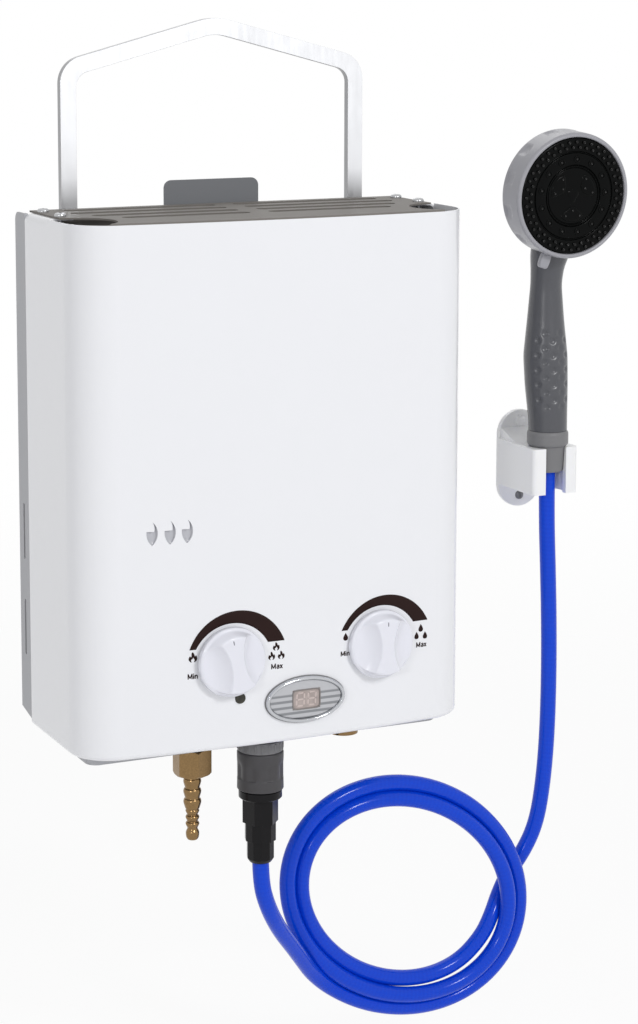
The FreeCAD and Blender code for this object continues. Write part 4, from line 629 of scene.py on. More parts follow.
def averaged(rows: np.ndarray, width: int) -> np.ndarray:
    """The running mean of width rows, weighted by a Hann window, which leaves width - 1 rows fewer."""
    kernel = np.hanning(width) / np.hanning(width).sum()
    return np.stack([np.convolve(column, kernel, "valid") for column in rows.T], 1)


def angles(count: int) -> np.ndarray:
    """Even steps of a full turn, from zero."""
    return np.linspace(0.0, FULL, count, endpoint=False)


def raised(flat: np.ndarray, height: np.ndarray | float = 0.0) -> np.ndarray:
    """Flat points with their height as a third value."""
    return np.concatenate([flat, np.broadcast_to(height, flat.shape[:-1])[..., None]], -1)


def soft_box(count: int, half: Pair, power: Pair, middle: Pair = (0.0, 0.0)) -> np.ndarray:
    """An outline between an oval and a rectangle: middle + half sign(w) |w|^power, w being cos a and sin a.

    Args:
        count: its points.
        half: its half sizes.
        power: 1 for an oval, and less for a fuller corner, along x and y.
        middle: its place.

    Returns:
        count x 2, counter-clockwise.
    """
    wave = np.stack([np.cos(angles(count)), np.sin(angles(count))], 1)
    return np.array(middle) + np.array(half) * np.sign(wave) * np.abs(wave) ** np.array(power)


def turned(profile: ArrayLike, sides: int, shrink: np.ndarray | float = 0.0) -> np.ndarray:
    """A shape of revolution about z: (r cos a, r sin a, z) for each profile point (r, z) and angle a.

    Args:
        profile: rows x 2, radius and height.
        sides: points round it.
        shrink: rows x sides taken off the radius.

    Returns:
        rows x sides x 3.
    """
    profile, angle = np.asarray(profile, float), angles(sides)
    radius = profile[:, :1] - shrink
    return raised(np.stack([radius * np.cos(angle), radius * np.sin(angle)], -1), profile[:, 1:])


def facing_front(points: np.ndarray, where: Point, tilt: float = 0.0) -> np.ndarray:
    """Stands points drawn in xy and raised along z so that they face the front.

    (x, y, z) goes to (x, y cos A - z sin A, y sin A + z cos A) with A = 90 degrees + tilt, and then to where.

    Args:
        points: any sizes x 3.
        where: the place of their origin.
        tilt: degrees by which their face leans downwards.

    Returns:
        The placed points.
    """
    c, s = math.cos(math.radians(90 + tilt)), math.sin(math.radians(90 + tilt))
    x, y, z = points[..., 0], points[..., 1], points[..., 2]
    return np.stack([x, y * c - z * s, y * s + z * c], -1) + np.array(where)


def spun(points: np.ndarray, degrees: float) -> np.ndarray:
    """The points turned about z, counter-clockwise."""
    c, s = math.cos(math.radians(degrees)), math.sin(math.radians(degrees))
    return np.stack([points[..., 0] * c - points[..., 1] * s, points[..., 0] * s + points[..., 1] * c,
                     points[..., 2]], -1)


def around(count: int, radius: float, start: float = 0.0) -> np.ndarray:
    """Places on a circle in xy from start degrees, count x 1 x 1 x 3, to be added to a template's grid."""
    angle = np.radians(start) + angles(count)
    return raised(radius * np.stack([np.cos(angle), np.sin(angle)], -1))[:, None, None]


def pillow(outline: np.ndarray, height: float, rows: int = 7) -> np.ndarray:
    """A low pad over an outline: rings shrink to the middle while their height rises to a flat top.

    Ring s, 1 to 0, is the middle plus s times the outline, and its height is (1 - s^6) times the height.
    The first ring lies under the pad's foot.

    Args:
        outline: points x 2, counter-clockwise.
        height: the pad's.
        rows: rings.

    Returns:
        rows + 1 x points x 3, whose last ring is small and is capped.
    """
    share = np.concatenate([[1.0], np.linspace(1.0, 0.05, rows)])[:, None]
    middle = outline.mean(0)
    rise = height * (1 - share ** 6)
    rise[0] = -0.4
    return raised(middle + share[..., None] * (outline - middle), rise)


BOW_RADIUS = 1318.06
BOW_CENTRE = 1188.06


def bow(across: np.ndarray | float) -> np.ndarray | float:
    """Depth of the front's face at across: the arc BOW_CENTRE - sqrt(BOW_RADIUS^2 - x^2)."""
    return BOW_CENTRE - np.sqrt(BOW_RADIUS ** 2 - np.asarray(across, float) ** 2)


def on_front(points: np.ndarray, across: float, height: float) -> np.ndarray:
    """Lays points drawn in xy on the bowed front at a place: (x, y, z) goes to (x, bow(x) - z, y)."""
    x = points[..., 0] + across
    return np.stack([x, bow(x) - points[..., 2], points[..., 1] + height], -1)


def skin_along(path: np.ndarray, radius: float, sides: int) -> np.ndarray:
    """Rings round a path that never runs along y, each in the plane across its direction.

    The ring at arc length s is path(s) + r (n cos a + b sin a), where n is the y direction
    less its part along the path, and b is the path's direction crossed with n.

    Args:
        path: rows x 3.
        radius: of the rings.
        sides: points in a ring.

    Returns:
        rows x sides x 3.
    """
    ahead = np.gradient(path, axis=0)
    ahead /= np.linalg.norm(ahead, axis=1, keepdims=True)
    fixed = np.array((0.0, 1.0, 0.0))
    n = fixed - ahead * (ahead @ fixed)[:, None]
    n /= np.linalg.norm(n, axis=1, keepdims=True)
    b = np.cross(ahead, n)
    angle = angles(sides)[None, :, None]
    return path[:, None] + radius * (n[:, None] * np.cos(angle) + b[:, None] * np.sin(angle))


def finished(piece: bpy.types.Object, body: str, finish: Finish, stands_for: tuple[str, ...] = (),
             slot: str = "") -> bpy.types.Object:
    """Gives a piece its material, body and the nodes it stands for, and reports it.

    Args:
        piece: the new object.
        body: the body that it moves with.
        finish: its finish.
        stands_for: the nodes that it replaces.
        slot: the record's slot that the finish belongs to, where that isn't the finish's own name; not used.

    Returns:
        The piece.
    """
    piece.data.materials.clear()
    piece.data.materials.append(finish.made())
    slot or finish.name.lower()
    if stands_for:
        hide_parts(*stands_for)
    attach(piece, body)
    LOG.info("%s rides on %s, %d faces", piece.name, body, len(piece.data.polygons))
    return piece


def smooth_copy(node: str, corner: float, edge: float = 0.0) -> bpy.types.Object:
    """A merged copy of a sheet-metal or moulded node, with smooth rounds and crisp corners.

    Args:
        node: the name of the node.
        corner: faces that meet at more degrees than this keep a crisp edge.
        edge: width in millimetres of the round put on crisp edges, or 0.

    Returns:
        The copy, which isn't yet given to a body.
    """
    mesh = frame["nodes"][node].data.copy()
    with opened(mesh) as shape:
        bmesh.ops.remove_doubles(shape, verts=shape.verts, dist=2e-6)
        bmesh.ops.dissolve_limit(shape, angle_limit=math.radians(0.4), verts=shape.verts, edges=shape.edges)
    for name in [layer.name for layer in mesh.attributes if layer.name == "custom_normal"]:
        mesh.attributes.remove(mesh.attributes[name])
    mesh.shade_smooth()
    mesh.set_sharp_from_angle(angle=math.radians(corner))
    piece = linked(node + "_skin", mesh)
    if edge:
        round_off = piece.modifiers.new("rounded_edge", "BEVEL")
        round_off.width = edge * MM
        round_off.segments = 2
        round_off.limit_method = "ANGLE"
        round_off.angle_limit = math.radians(corner)
        round_off.use_clamp_overlap = True
    weigh = piece.modifiers.new("even_shading", "WEIGHTED_NORMAL")
    weigh.keep_sharp = True
    weigh.weight = 80
    return piece


def dressed(node: str, finish: Finish, corner: float = 30.0, edge: float = 0.0,
            slot: str = "") -> bpy.types.Object:
    """A smooth copy of one of the heater's nodes in its finish."""
    return finished(smooth_copy(node, corner, edge), "heater", finish, (node,), slot)


# ---------------------------------------------------------------- camera, light and floor


@dataclass
class Studio:
    """A pale floor, soft lamps, a plain world and the camera."""

    place: Point = (-0.7063, -1.6716, 0.1971)
    yaw: float = 24.5
    pitch: float = 8.23
    lens: float = 90.34
    shift: Pair = (0.0366, -0.166)
    floor_height: float = -0.62
    floor_radius: float = 2.6
    world_light: float = 0.54
    lamps: tuple[tuple[str, Point, Point, float, float], ...] = (
        ("key_lamp", (0.55, -2.3, 1.0), (0.0, 0.0, -0.1), 0.45, 20.2),
        ("side_lamp", (-1.9, -2.1, 0.5), (0.0, 0.0, -0.1), 0.3, 8.5),
        ("back_lamp", (0.6, 1.8, 1.6), (0.0, 0.0, -0.1), 1.4, 6.0))

    def camera(self) -> None:
        """Puts the camera at its place, looking along yaw and down by pitch."""
        data = bpy.data.cameras.new("view")
        data.lens = self.lens
        data.sensor_width = 36.0
        data.shift_x, data.shift_y = self.shift
        camera = linked("view", data)
        yaw, pitch = math.radians(self.yaw), math.radians(self.pitch)
        ahead = Vector((math.sin(yaw) * math.cos(pitch), math.cos(yaw) * math.cos(pitch), -math.sin(pitch)))
        right = Vector((math.cos(yaw), -math.sin(yaw), 0.0))
        turn = Matrix((right, right.cross(ahead), -ahead)).transposed()
        camera.matrix_world = Matrix.Translation(self.place) @ turn.to_4x4()
        bpy.context.scene.camera = camera

    def lamp(self, name: str, where: Point, aim: Point, size: float, power: float) -> None:
        """Adds one square soft lamp.

        Args:
            name: its name.
            where: its middle.
            aim: the point that it faces.
            size: its side in metres.
            power: in watts.
        """
        data = bpy.data.lights.new(name, "AREA")
        data.shape = "SQUARE"
        data.size = size
        data.energy = power
        lamp = linked(name, data)
        lamp.matrix_world = (Matrix.Translation(where)
                             @ (Vector(aim) - Vector(where)).to_track_quat("-Z", "Y").to_matrix().to_4x4())

    def seen(self, tree: bpy.types.NodeTree) -> bpy.types.NodeSocket:
        """One for rays from the camera, off a mirror or through glass, and zero for the light itself.

        Args:
            tree: the node tree that the nodes are added to.

        Returns:
            The value.
        """
        path = tree.nodes.new("ShaderNodeLightPath")
        value = path.outputs["Is Camera Ray"]
        for other in ("Is Glossy Ray", "Is Transmission Ray"):
            either = tree.nodes.new("ShaderNodeMath")
            either.operation = "MAXIMUM"
            tree.links.new(value, either.inputs[0])
            tree.links.new(path.outputs[other], either.inputs[1])
            value = either.outputs[0]
        return value

    def world(self) -> None:
        """White where it is seen, and a soft grey where it lights the object."""
        world = bpy.data.worlds.new("room")
        bpy.context.scene.world = world
        world.use_nodes = True
        tree = world.node_tree
        back = next(n for n in tree.nodes if n.type == "BACKGROUND")
        share = tree.nodes.new("ShaderNodeMapRange")
        share.inputs[3].default_value = self.world_light
        share.inputs[4].default_value = 1.0
        tree.links.new(self.seen(tree), share.inputs[0])
        tree.links.new(share.outputs[0], back.inputs["Strength"])
        back.inputs["Color"].default_value = (1.0, 1.0, 1.0, 1.0)

    def floor(self) -> None:
        """A round pale floor: point (r, a) lies at (r cos a, r sin a); its rim fades out."""
        rows = np.linspace(20.0, self.floor_radius / MM, 12)
        grid = turned(np.stack([rows, np.full_like(rows, self.floor_height / MM)], 1), 64)
        floor = Shape().grid(grid, ring=True).make("floor", closed=False)
        g = Graph("pale_floor")
        where = g.place()
        drift = g.noise(where, 3.0, 2.0)
        g.set(Base_Color=g.mix(drift, (0.93, 0.93, 0.935), (0.95, 0.95, 0.955)), Roughness=0.7,
              Specular_IOR_Level=0.1)
        lit = g.node("ShaderNodeEmission", {"Color": (1.0, 1.0, 1.0, 1.0), "Strength": 1.0})
        clear = g.node("ShaderNodeBsdfTransparent", {})
        pale = g.node("ShaderNodeMixShader", {0: g.math("MULTIPLY", self.seen(g.tree), 0.9),
                                              1: g.shader.outputs[0], 2: lit.outputs[0]})
        far = g.node("ShaderNodeVectorMath", {0: where}, operation="LENGTH").outputs["Value"]
        fade = g.spread(far, 0.0, 1.0, self.floor_radius * 0.4, self.floor_radius * 0.97, "SMOOTHSTEP")
        rim = g.node("ShaderNodeMixShader", {0: fade, 1: pale.outputs[0], 2: clear.outputs[0]})
        end = next(n for n in g.tree.nodes if n.type == "OUTPUT_MATERIAL")
        g.tree.links.new(rim.outputs[0], end.inputs["Surface"])
        floor.data.materials.append(g.material)

    def build(self) -> None:
        """Camera, lamps, world and floor."""
        self.camera()
        for row in self.lamps:
            self.lamp(*row)
        self.world()
        self.floor()


# ---------------------------------------------------------------- the hose


@dataclass
class Hose:
    """The blue hose: out of the connector, two loose turns, and up behind them to the hand shower."""

    radius: float = 6.0
    sides: int = 24
    ring_step: float = 1.5
    lead: tuple[Point, ...] = ((0.0, -86.0, -416.2), (0.0, -86.0, -438.0), (7.5, -82.0, -459.5),
                               (22.0, -70.0, -482.5), (41.0, -56.0, -505.5))
    riser: tuple[Point, ...] = ((216.0, -33.0, -514.5), (226.0, -26.0, -501.0), (236.5, -22.0, -487.5),
                                (249.0, -22.0, -473.0), (259.0, -23.5, -452.5), (263.5, -25.0, -425.0),
                                (265.2, -28.0, -386.0), (264.2, -31.5, -338.0), (261.5, -35.0, -290.0),
                                (257.0, -39.8, -245.0), (252.0, -45.0, -203.5), (252.0, -45.0, -164.7))
    first_centre: Pair = (138.0, -483.2)
    last_centre: Pair = (136.6, -482.8)
    first_size: Pair = (109.9, 85.8)
    last_size: Pair = (81.6, 61.2)
    lean: float = -30.5
    turn_from: float = -106.0
    turn_to: float = 716.0
    per_turn: int = 16
    corner_pull: float = 1.03
    from_wall: float = -38.0
    weave: float = 3.0
    nut_end: Point = (252.0, -45.0, -370.0)
    shower_end: Point = (252.0, -45.0, -200.0)

    def turns(self) -> np.ndarray:
        """Points of the loose turns.

        They lie on a leaning ellipse whose centre and half sizes go evenly from first to last, at the depth
        from_wall + weave cos(a / 2). That moves them less than the hose is thick, so neighbouring turns lie
        as near as 10.5 mm, centre to centre, and sink into each other a little.

        Returns:
            points x 3.
        """
        count = int(self.per_turn * (self.turn_to - self.turn_from) / 360.0) + 1
        share = np.linspace(0.0, 1.0, count)
        angle = np.radians(self.turn_from + (self.turn_to - self.turn_from) * share)
        size = np.outer(1 - share, self.first_size) + np.outer(share, self.last_size)
        centre = np.outer(1 - share, self.first_centre) + np.outer(share, self.last_centre)
        along = self.corner_pull * size[:, 0] * np.cos(angle)
        across = self.corner_pull * size[:, 1] * np.sin(angle)
        lean = math.radians(self.lean)
        x = centre[:, 0] + along * math.cos(lean) - across * math.sin(lean)
        z = centre[:, 1] + along * math.sin(lean) + across * math.cos(lean)
        return np.stack([x, self.from_wall + self.weave * np.cos(angle * 0.5), z], 1)

    def route(self) -> bpy.types.Object:
        """The route as one smooth curve of order 3 through lead, turns and riser.

        Returns:
            The curve's object.
        """
        points = np.vstack([self.lead, self.turns(), self.riser]) * MM
        data = bpy.data.curves.new("hose_route", "CURVE")
        data.dimensions = "3D"
        data.resolution_u = 10
        spline = data.splines.new("NURBS")
        spline.points.add(len(points) - 1)
        spline.points.foreach_set("co", np.hstack([points, np.ones((len(points), 1))]).ravel())
        spline.order_u = 3
        spline.use_endpoint_u = True
        return linked("hose_route", data)

    def centre_line(self) -> np.ndarray:
        """The points of the route's curve, in order from the connector.

        Returns:
            points x 3, in metres.
        """
        route = self.route()
        mesh = bpy.data.meshes.new_from_object(route)
        line = np.zeros(len(mesh.vertices) * 3)
        mesh.vertices.foreach_get("co", line)
        bpy.data.objects.remove(route)
        return line.reshape(-1, 3)

    def build(self) -> bpy.types.Object:
        """A round wall carried along the route.

        Returns:
            The hose.
        """
        line = self.centre_line()
        length = float(lengths_along(line)[-1])
        even = np.linspace(0.0, length, int(length / (self.ring_step * MM)))
        path = evenly(line, len(even))
        path = np.vstack([path[:4], averaged(path, 9), path[-4:]])
        piece = Shape().solid(skin_along(path / MM, self.radius, self.sides)).make("hose")
        self.map_along(piece, even)
        piece.data.materials.append(Finish.BLUE_HOSE.made())
        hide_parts("hose_lead", "hose_coil", "hose_riser")
        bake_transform(piece, "heater", "handset", start=tuple(v * MM for v in self.nut_end),
                 end=tuple(v * MM for v in self.shower_end))
        LOG.info("hose is %.3f m long", length)
        return piece

    def map_along(self, piece: bpy.types.Object, even: np.ndarray) -> None:
        """Gives each ring's points the map named along: the length to the ring, and the share of a turn.

        Args:
            piece: the hose.
            even: the length to each ring.
        """
        share = np.linspace(0.0, 1.0, self.sides, endpoint=False)
        grid = np.stack(np.meshgrid(even, share, indexing="ij"), -1).reshape(-1, 2)
        flat = np.vstack([grid, [[0.0, 0.0], [even[-1], 0.0]]])
        layer = piece.data.uv_layers.new(name="along")
        index = np.zeros(len(piece.data.loops), np.int64)
        piece.data.loops.foreach_get("vertex_index", index)
        layer.data.foreach_set("uv", flat[index].astype(np.float32).ravel())


# ---------------------------------------------------------------- the heater


@dataclass
class Cabinet:
    """The white cover, grey back panel, base tray, grille plate and hanger of the heater."""

    crisp: float = 30.0
    shown: tuple[tuple[str, Finish], ...] = (
        ("front_cover", Finish.WHITE_ENAMEL), ("back_panel", Finish.GREY_ENAMEL),
        ("base_tray", Finish.GREY_ENAMEL), ("top_grille", Finish.GRILLE_ENAMEL),
        ("hanger_plate", Finish.HANGER_ENAMEL), ("grille_screws", Finish.SMALL_STEEL))
    vent_across: tuple[float, ...] = (-96.0, -83.5, -71.5)
    vent_height: float = -171.0
    vent_size: Pair = (11.0, 19.0)
    vent_deep: float = 3.4

    def vents(self) -> None:
        """A pressed scoop behind each vent, hollow by 1.3 + vent_deep (1-u^2)(1-v^4)(0.35 + 0.325 (1+u))."""
        u, v = np.meshgrid(np.linspace(-1, 1, 24), np.linspace(-1, 1, 32), indexing="xy")
        hollow = 1.3 + self.vent_deep * (1 - u ** 2) * (1 - v ** 4) * (0.35 + 0.325 * (1 + u))
        flat = np.stack([u * self.vent_size[0] / 2, v * self.vent_size[1] / 2, -hollow], -1)
        shape = Shape()
        for across in self.vent_across:
            shape.grid(on_front(flat, across, self.vent_height))
        piece = shape.make("vent_scoops", closed=False)
        wall = piece.modifiers.new("sheet", "SOLIDIFY")
        wall.thickness = 0.6 * MM
        wall.offset = -1.0
        # the scoops take a grey darker than the cover: painted shade in the vent hollows
        finished(piece, "heater", Finish.VENT_GREY, slot="white_enamel")

    def build(self) -> None:
        """A smooth copy of each shown sheet in its enamel, and the scoops behind the vents."""
        for node, finish in self.shown:
            dressed(node, finish, self.crisp)
        self.vents()


@dataclass
class Handle:
    """The bent flat-bar carry handle."""

    edge: float = 0.5

    def build(self) -> None:
        """A smooth copy of the bar with rounded edges, whose sides are marked to take painted shade."""
        bar = smooth_copy("carry_handle", 30.0, self.edge)
        out = np.empty(3 * len(bar.data.polygons))
        bar.data.polygons.foreach_get("normal", out)
        # faces that face neither front nor back are marked for the painted shade of the sides
        mark = bar.data.attributes.new("shaded_side", "FLOAT", "FACE")
        mark.data.foreach_set("value", (np.abs(out[1::3]) < 0.8).astype(float))
        finished(bar, "carry_handle", Finish.HANDLE_STEEL, ("carry_handle",))


# each letter's strokes, in shares of a capital's height, and its advance
LETTERS: dict[str, tuple[tuple[tuple[Pair, ...], ...], float]] = {
    "M": ((((0.0, 0.0), (0.0, 1.0)), ((0.0, 0.97), (0.38, 0.12), (0.76, 0.97)),
           ((0.76, 1.0), (0.76, 0.0))), 1.06),
    "i": ((((0.0, 0.0), (0.0, 0.70)), ((0.0, 0.84), (0.0, 1.02))), 0.30),
    "n": ((((0.0, 0.0), (0.0, 0.70)),
           ((0.02, 0.48), (0.16, 0.66), (0.36, 0.66), (0.46, 0.50), (0.46, 0.0))), 0.68),
    "a": ((((0.04, 0.60), (0.20, 0.69), (0.38, 0.66), (0.45, 0.50), (0.45, 0.0)),
           ((0.45, 0.40), (0.12, 0.38), (0.02, 0.22), (0.10, 0.04), (0.28, 0.03), (0.45, 0.18))), 0.68),
    "x": ((((0.0, 0.0), (0.46, 0.70)), ((0.0, 0.70), (0.46, 0.0))), 0.68)}


@dataclass(frozen=True)
class Arc:
    """The place of a tapering printed band: two circles and the level that cuts them."""

    outer: Point
    inner: Point
    level: float


@dataclass
class PrintedScales:
    """The printed bands, flames, drops and words round the two knobs."""

    arcs: tuple[Arc, ...] = (Arc((-36.0, -264.9, 36.7), (-39.8, -266.0, 29.4), -252.2),
                             Arc((75.9, -267.0, 37.8), (72.4, -266.5, 30.3), -250.8))
    flames: tuple[Point, ...] = ((-68.1, -257.1, 7.0), (-7.7, -255.8, 5.8), (-11.1, -262.1, 5.8),
                                 (-4.0, -262.1, 5.8))
    drops: tuple[Point, ...] = ((44.9, -255.1, 5.5), (104.7, -256.1, 5.5), (101.3, -261.2, 5.2),
                                (108.2, -261.6, 5.2))
    words: tuple[tuple[str, float, float, float], ...] = (
        ("Min", -68.2, -270.3, 3.6), ("Max", -7.1, -269.7, 3.6), ("Min", 44.6, -266.9, 3.4),
        ("Max", 105.3, -268.0, 3.5))
    stroke: float = 0.20
    film: float = 0.12
    flame_edge: tuple[Pair, ...] = ((-0.20, -0.50), (-0.44, -0.28), (-0.40, -0.02), (-0.26, 0.14),
                                    (-0.20, -0.04), (-0.10, 0.10), (-0.14, 0.34), (-0.04, 0.52), (0.12, 0.34),
                                    (0.20, 0.10), (0.26, 0.02), (0.32, 0.22), (0.44, -0.06), (0.42, -0.32),
                                    (0.20, -0.50))
    flame_hollow: tuple[Pair, ...] = ((-0.10, -0.50), (-0.20, -0.36), (-0.14, -0.18), (-0.04, -0.22),
                                      (0.03, 0.00), (0.12, -0.16), (0.20, -0.32), (0.10, -0.50))

    def band(self, arc: Arc) -> np.ndarray:
        """Points between the two circles above the level, (1-s) inner(t) + s outer(t).

        Each circle is walked from its left crossing of the level, over its top, to its right crossing.

        Args:
            arc: the band's place.

        Returns:
            rows x columns x 3, drawn in the front's own x and z.
        """
        t = np.linspace(0.0, 1.0, 90)[None]
        lines = []
        for x, z, radius in (arc.inner, arc.outer):
            low = math.asin((arc.level - z) / radius)
            angle = math.pi - low + t * (2 * low - math.pi)
            lines.append(np.stack([x + radius * np.cos(angle), z + radius * np.sin(angle), 0 * angle], -1))
        share = np.linspace(0.0, 1.0, 8)[:, None, None]
        return (1 - share) * lines[0] + share * lines[1]

    def flame(self, tall: float) -> np.ndarray:
        """A two-tongued flame with a hollow foot: (1-s) inner(t) + s outer(t) between two listed lines.

        Args:
            tall: its height.

        Returns:
            rows x columns x 3.
        """
        lines = [evenly(eased(line, 0.12), 56) for line in (self.flame_hollow, self.flame_edge)]
        share = np.linspace(0.0, 1.0, 4)[:, None, None]
        return raised(tall * ((1 - share) * lines[0] + share * lines[1]))

    def drop(self, tall: float) -> np.ndarray:
        """Outline of a drop: x = -0.46 sin t sin(t/2)^1.4 and y = 0.5 cos t, times its height."""
        t = angles(48)
        return tall * np.stack([-0.46 * np.sin(t) * np.sin(t / 2) ** 1.4, 0.5 * np.cos(t)], 1)

    def word(self, text: str, tall: float) -> list[np.ndarray]:
        """A word as strokes: each is its line moved half a stroke's width to either side along its normal.

        Args:
            text: the word.
            tall: height of a capital letter.

        Returns:
            A rows x 2 x 3 grid for each stroke, the word's middle at the origin.
        """
        strokes, pen = [], 0.0
        for letter in text:
            lines, advance = LETTERS[letter]
            strokes += [np.array(line, float) + (pen, 0.0) for line in lines]
            pen += advance
        made = []
        for line in strokes:
            line = tall * (evenly(eased(line, 0.10, 4), 24) - ((pen - 0.22) / 2, 0.5))
            ahead = np.gradient(line, axis=0)
            side = np.stack([-ahead[:, 1], ahead[:, 0]], 1) / np.linalg.norm(ahead, axis=1, keepdims=True)
            edges = np.array([0.5, -0.5])[None, :, None] * side[:, None] * self.stroke * tall
            made.append(raised(line[:, None] + edges))
        return made

    def build(self) -> None:
        """One layer of ink, which stands off the bowed front by the film's thickness."""
        shape = Shape()
        for arc in self.arcs:
            shape.grid(on_front(self.band(arc), 0.0, 0.0))
        rings = np.linspace(1.0, 0.04, 5)[:, None, None]
        for x, z, tall in self.flames:
            shape.grid(on_front(self.flame(tall), x, z))
        for x, z, tall in self.drops:
            shape.grid(on_front(raised(rings * self.drop(tall)), x, z), ring=True)
        for text, x, z, tall in self.words:
            for flat in self.word(text, tall):
                shape.grid(on_front(flat, x, z))
        piece = shape.make("printed_scales", closed=False)
        self.face_front(piece)
        film = piece.modifiers.new("film", "SOLIDIFY")
        film.thickness = 2 * self.film * MM
        film.offset = 0.0
        finished(piece, "heater", Finish.PRINT_BROWN, slot="white_enamel")

    def face_front(self, piece: bpy.types.Object) -> None:
        """Turns each face whose normal points into the front round.

        Args:
            piece: the printed piece.
        """
        with opened(piece.data) as shape:
            shape.normal_update()
            bmesh.ops.reverse_faces(shape, faces=[face for face in shape.faces if face.normal.y > 0])


@dataclass
class Knob:
    """A round knob with a grip blade left between two dished scoops, and a pointer mark."""

    node: str
    across: float
    back: float
    pointer: float
    height: float = -262.1
    top: float = 14.0
    blade: float = 4.3
    scoop_radius: float = 34.0
    scoop_width: float = 14.5
    scoop_depth: float = 8.6
    skirt_top: float = 4.6
    blend: float = 0.7
    outline: tuple[Pair, ...] = ((0.4, 14.0), (19.4, 14.0), (21.9, 5.6), (23.4, 4.9), (24.0, 3.9),
                                 (24.0, 0.0), (21.0, 0.0))
    mark: Point = (16.2, 3.0, 0.75)
    mark_film: float = 0.12

    def dish(self, rows: np.ndarray) -> np.ndarray:
        """Lowers the top between blade and rim.

        The distance past the blade's edge w(v) = blade + v^2 / 2 scoop_radius is t; the floor is
        top - scoop_depth (1 - (1 - t/scoop_width)^2.3), and the lower of it and the outline is kept,
        with a small round, blend, where they meet. The skirt isn't lowered.

        Args:
            rows: rows x columns x 3, the shape of revolution.

        Returns:
            The dished points.
        """
        edge = self.blade + rows[..., 1] ** 2 / (2 * self.scoop_radius)
        t = np.clip((np.abs(rows[..., 0]) - edge) / self.scoop_width, 0.0, 1.0)
        floor = self.top - self.scoop_depth * (1 - (1 - t) ** 2.3)
        share = np.clip(0.5 + 0.5 * (floor - rows[..., 2]) / self.blend, 0.0, 1.0)
        low = floor + share * (rows[..., 2] - floor) - self.blend * share * (1 - share)
        rows[..., 2] = np.where(rows[..., 2] > self.skirt_top, low, rows[..., 2])
        return rows

    def stand(self, points: np.ndarray) -> Shape:
        """The points as a solid that is turned to the pointer and faces the front."""
        return Shape().solid(facing_front(spun(points, self.pointer), (self.across, self.back, self.height)))

    def build(self) -> None:
        """The knob and its mark, both of which turn with the shaft."""
        cap = self.stand(self.dish(turned(filled(eased(self.outline, 1.8, 7), 0.45), 168)))
        cap.piece(self.node + "_cap", self.node, Finish.WHITE_PLASTIC, (self.node,), crisp=55.0)
        reach, long, wide = self.mark
        pad = pillow(soft_box(40, (wide / 2, long / 2), (0.6, 0.6), (0.0, reach)), self.mark_film)
        pad += np.array([0.0, 0.0, self.top - self.mark_film])
        self.stand(pad).piece(self.node + "_mark", self.node, Finish.PRINT_GREY, slot="white_plastic")


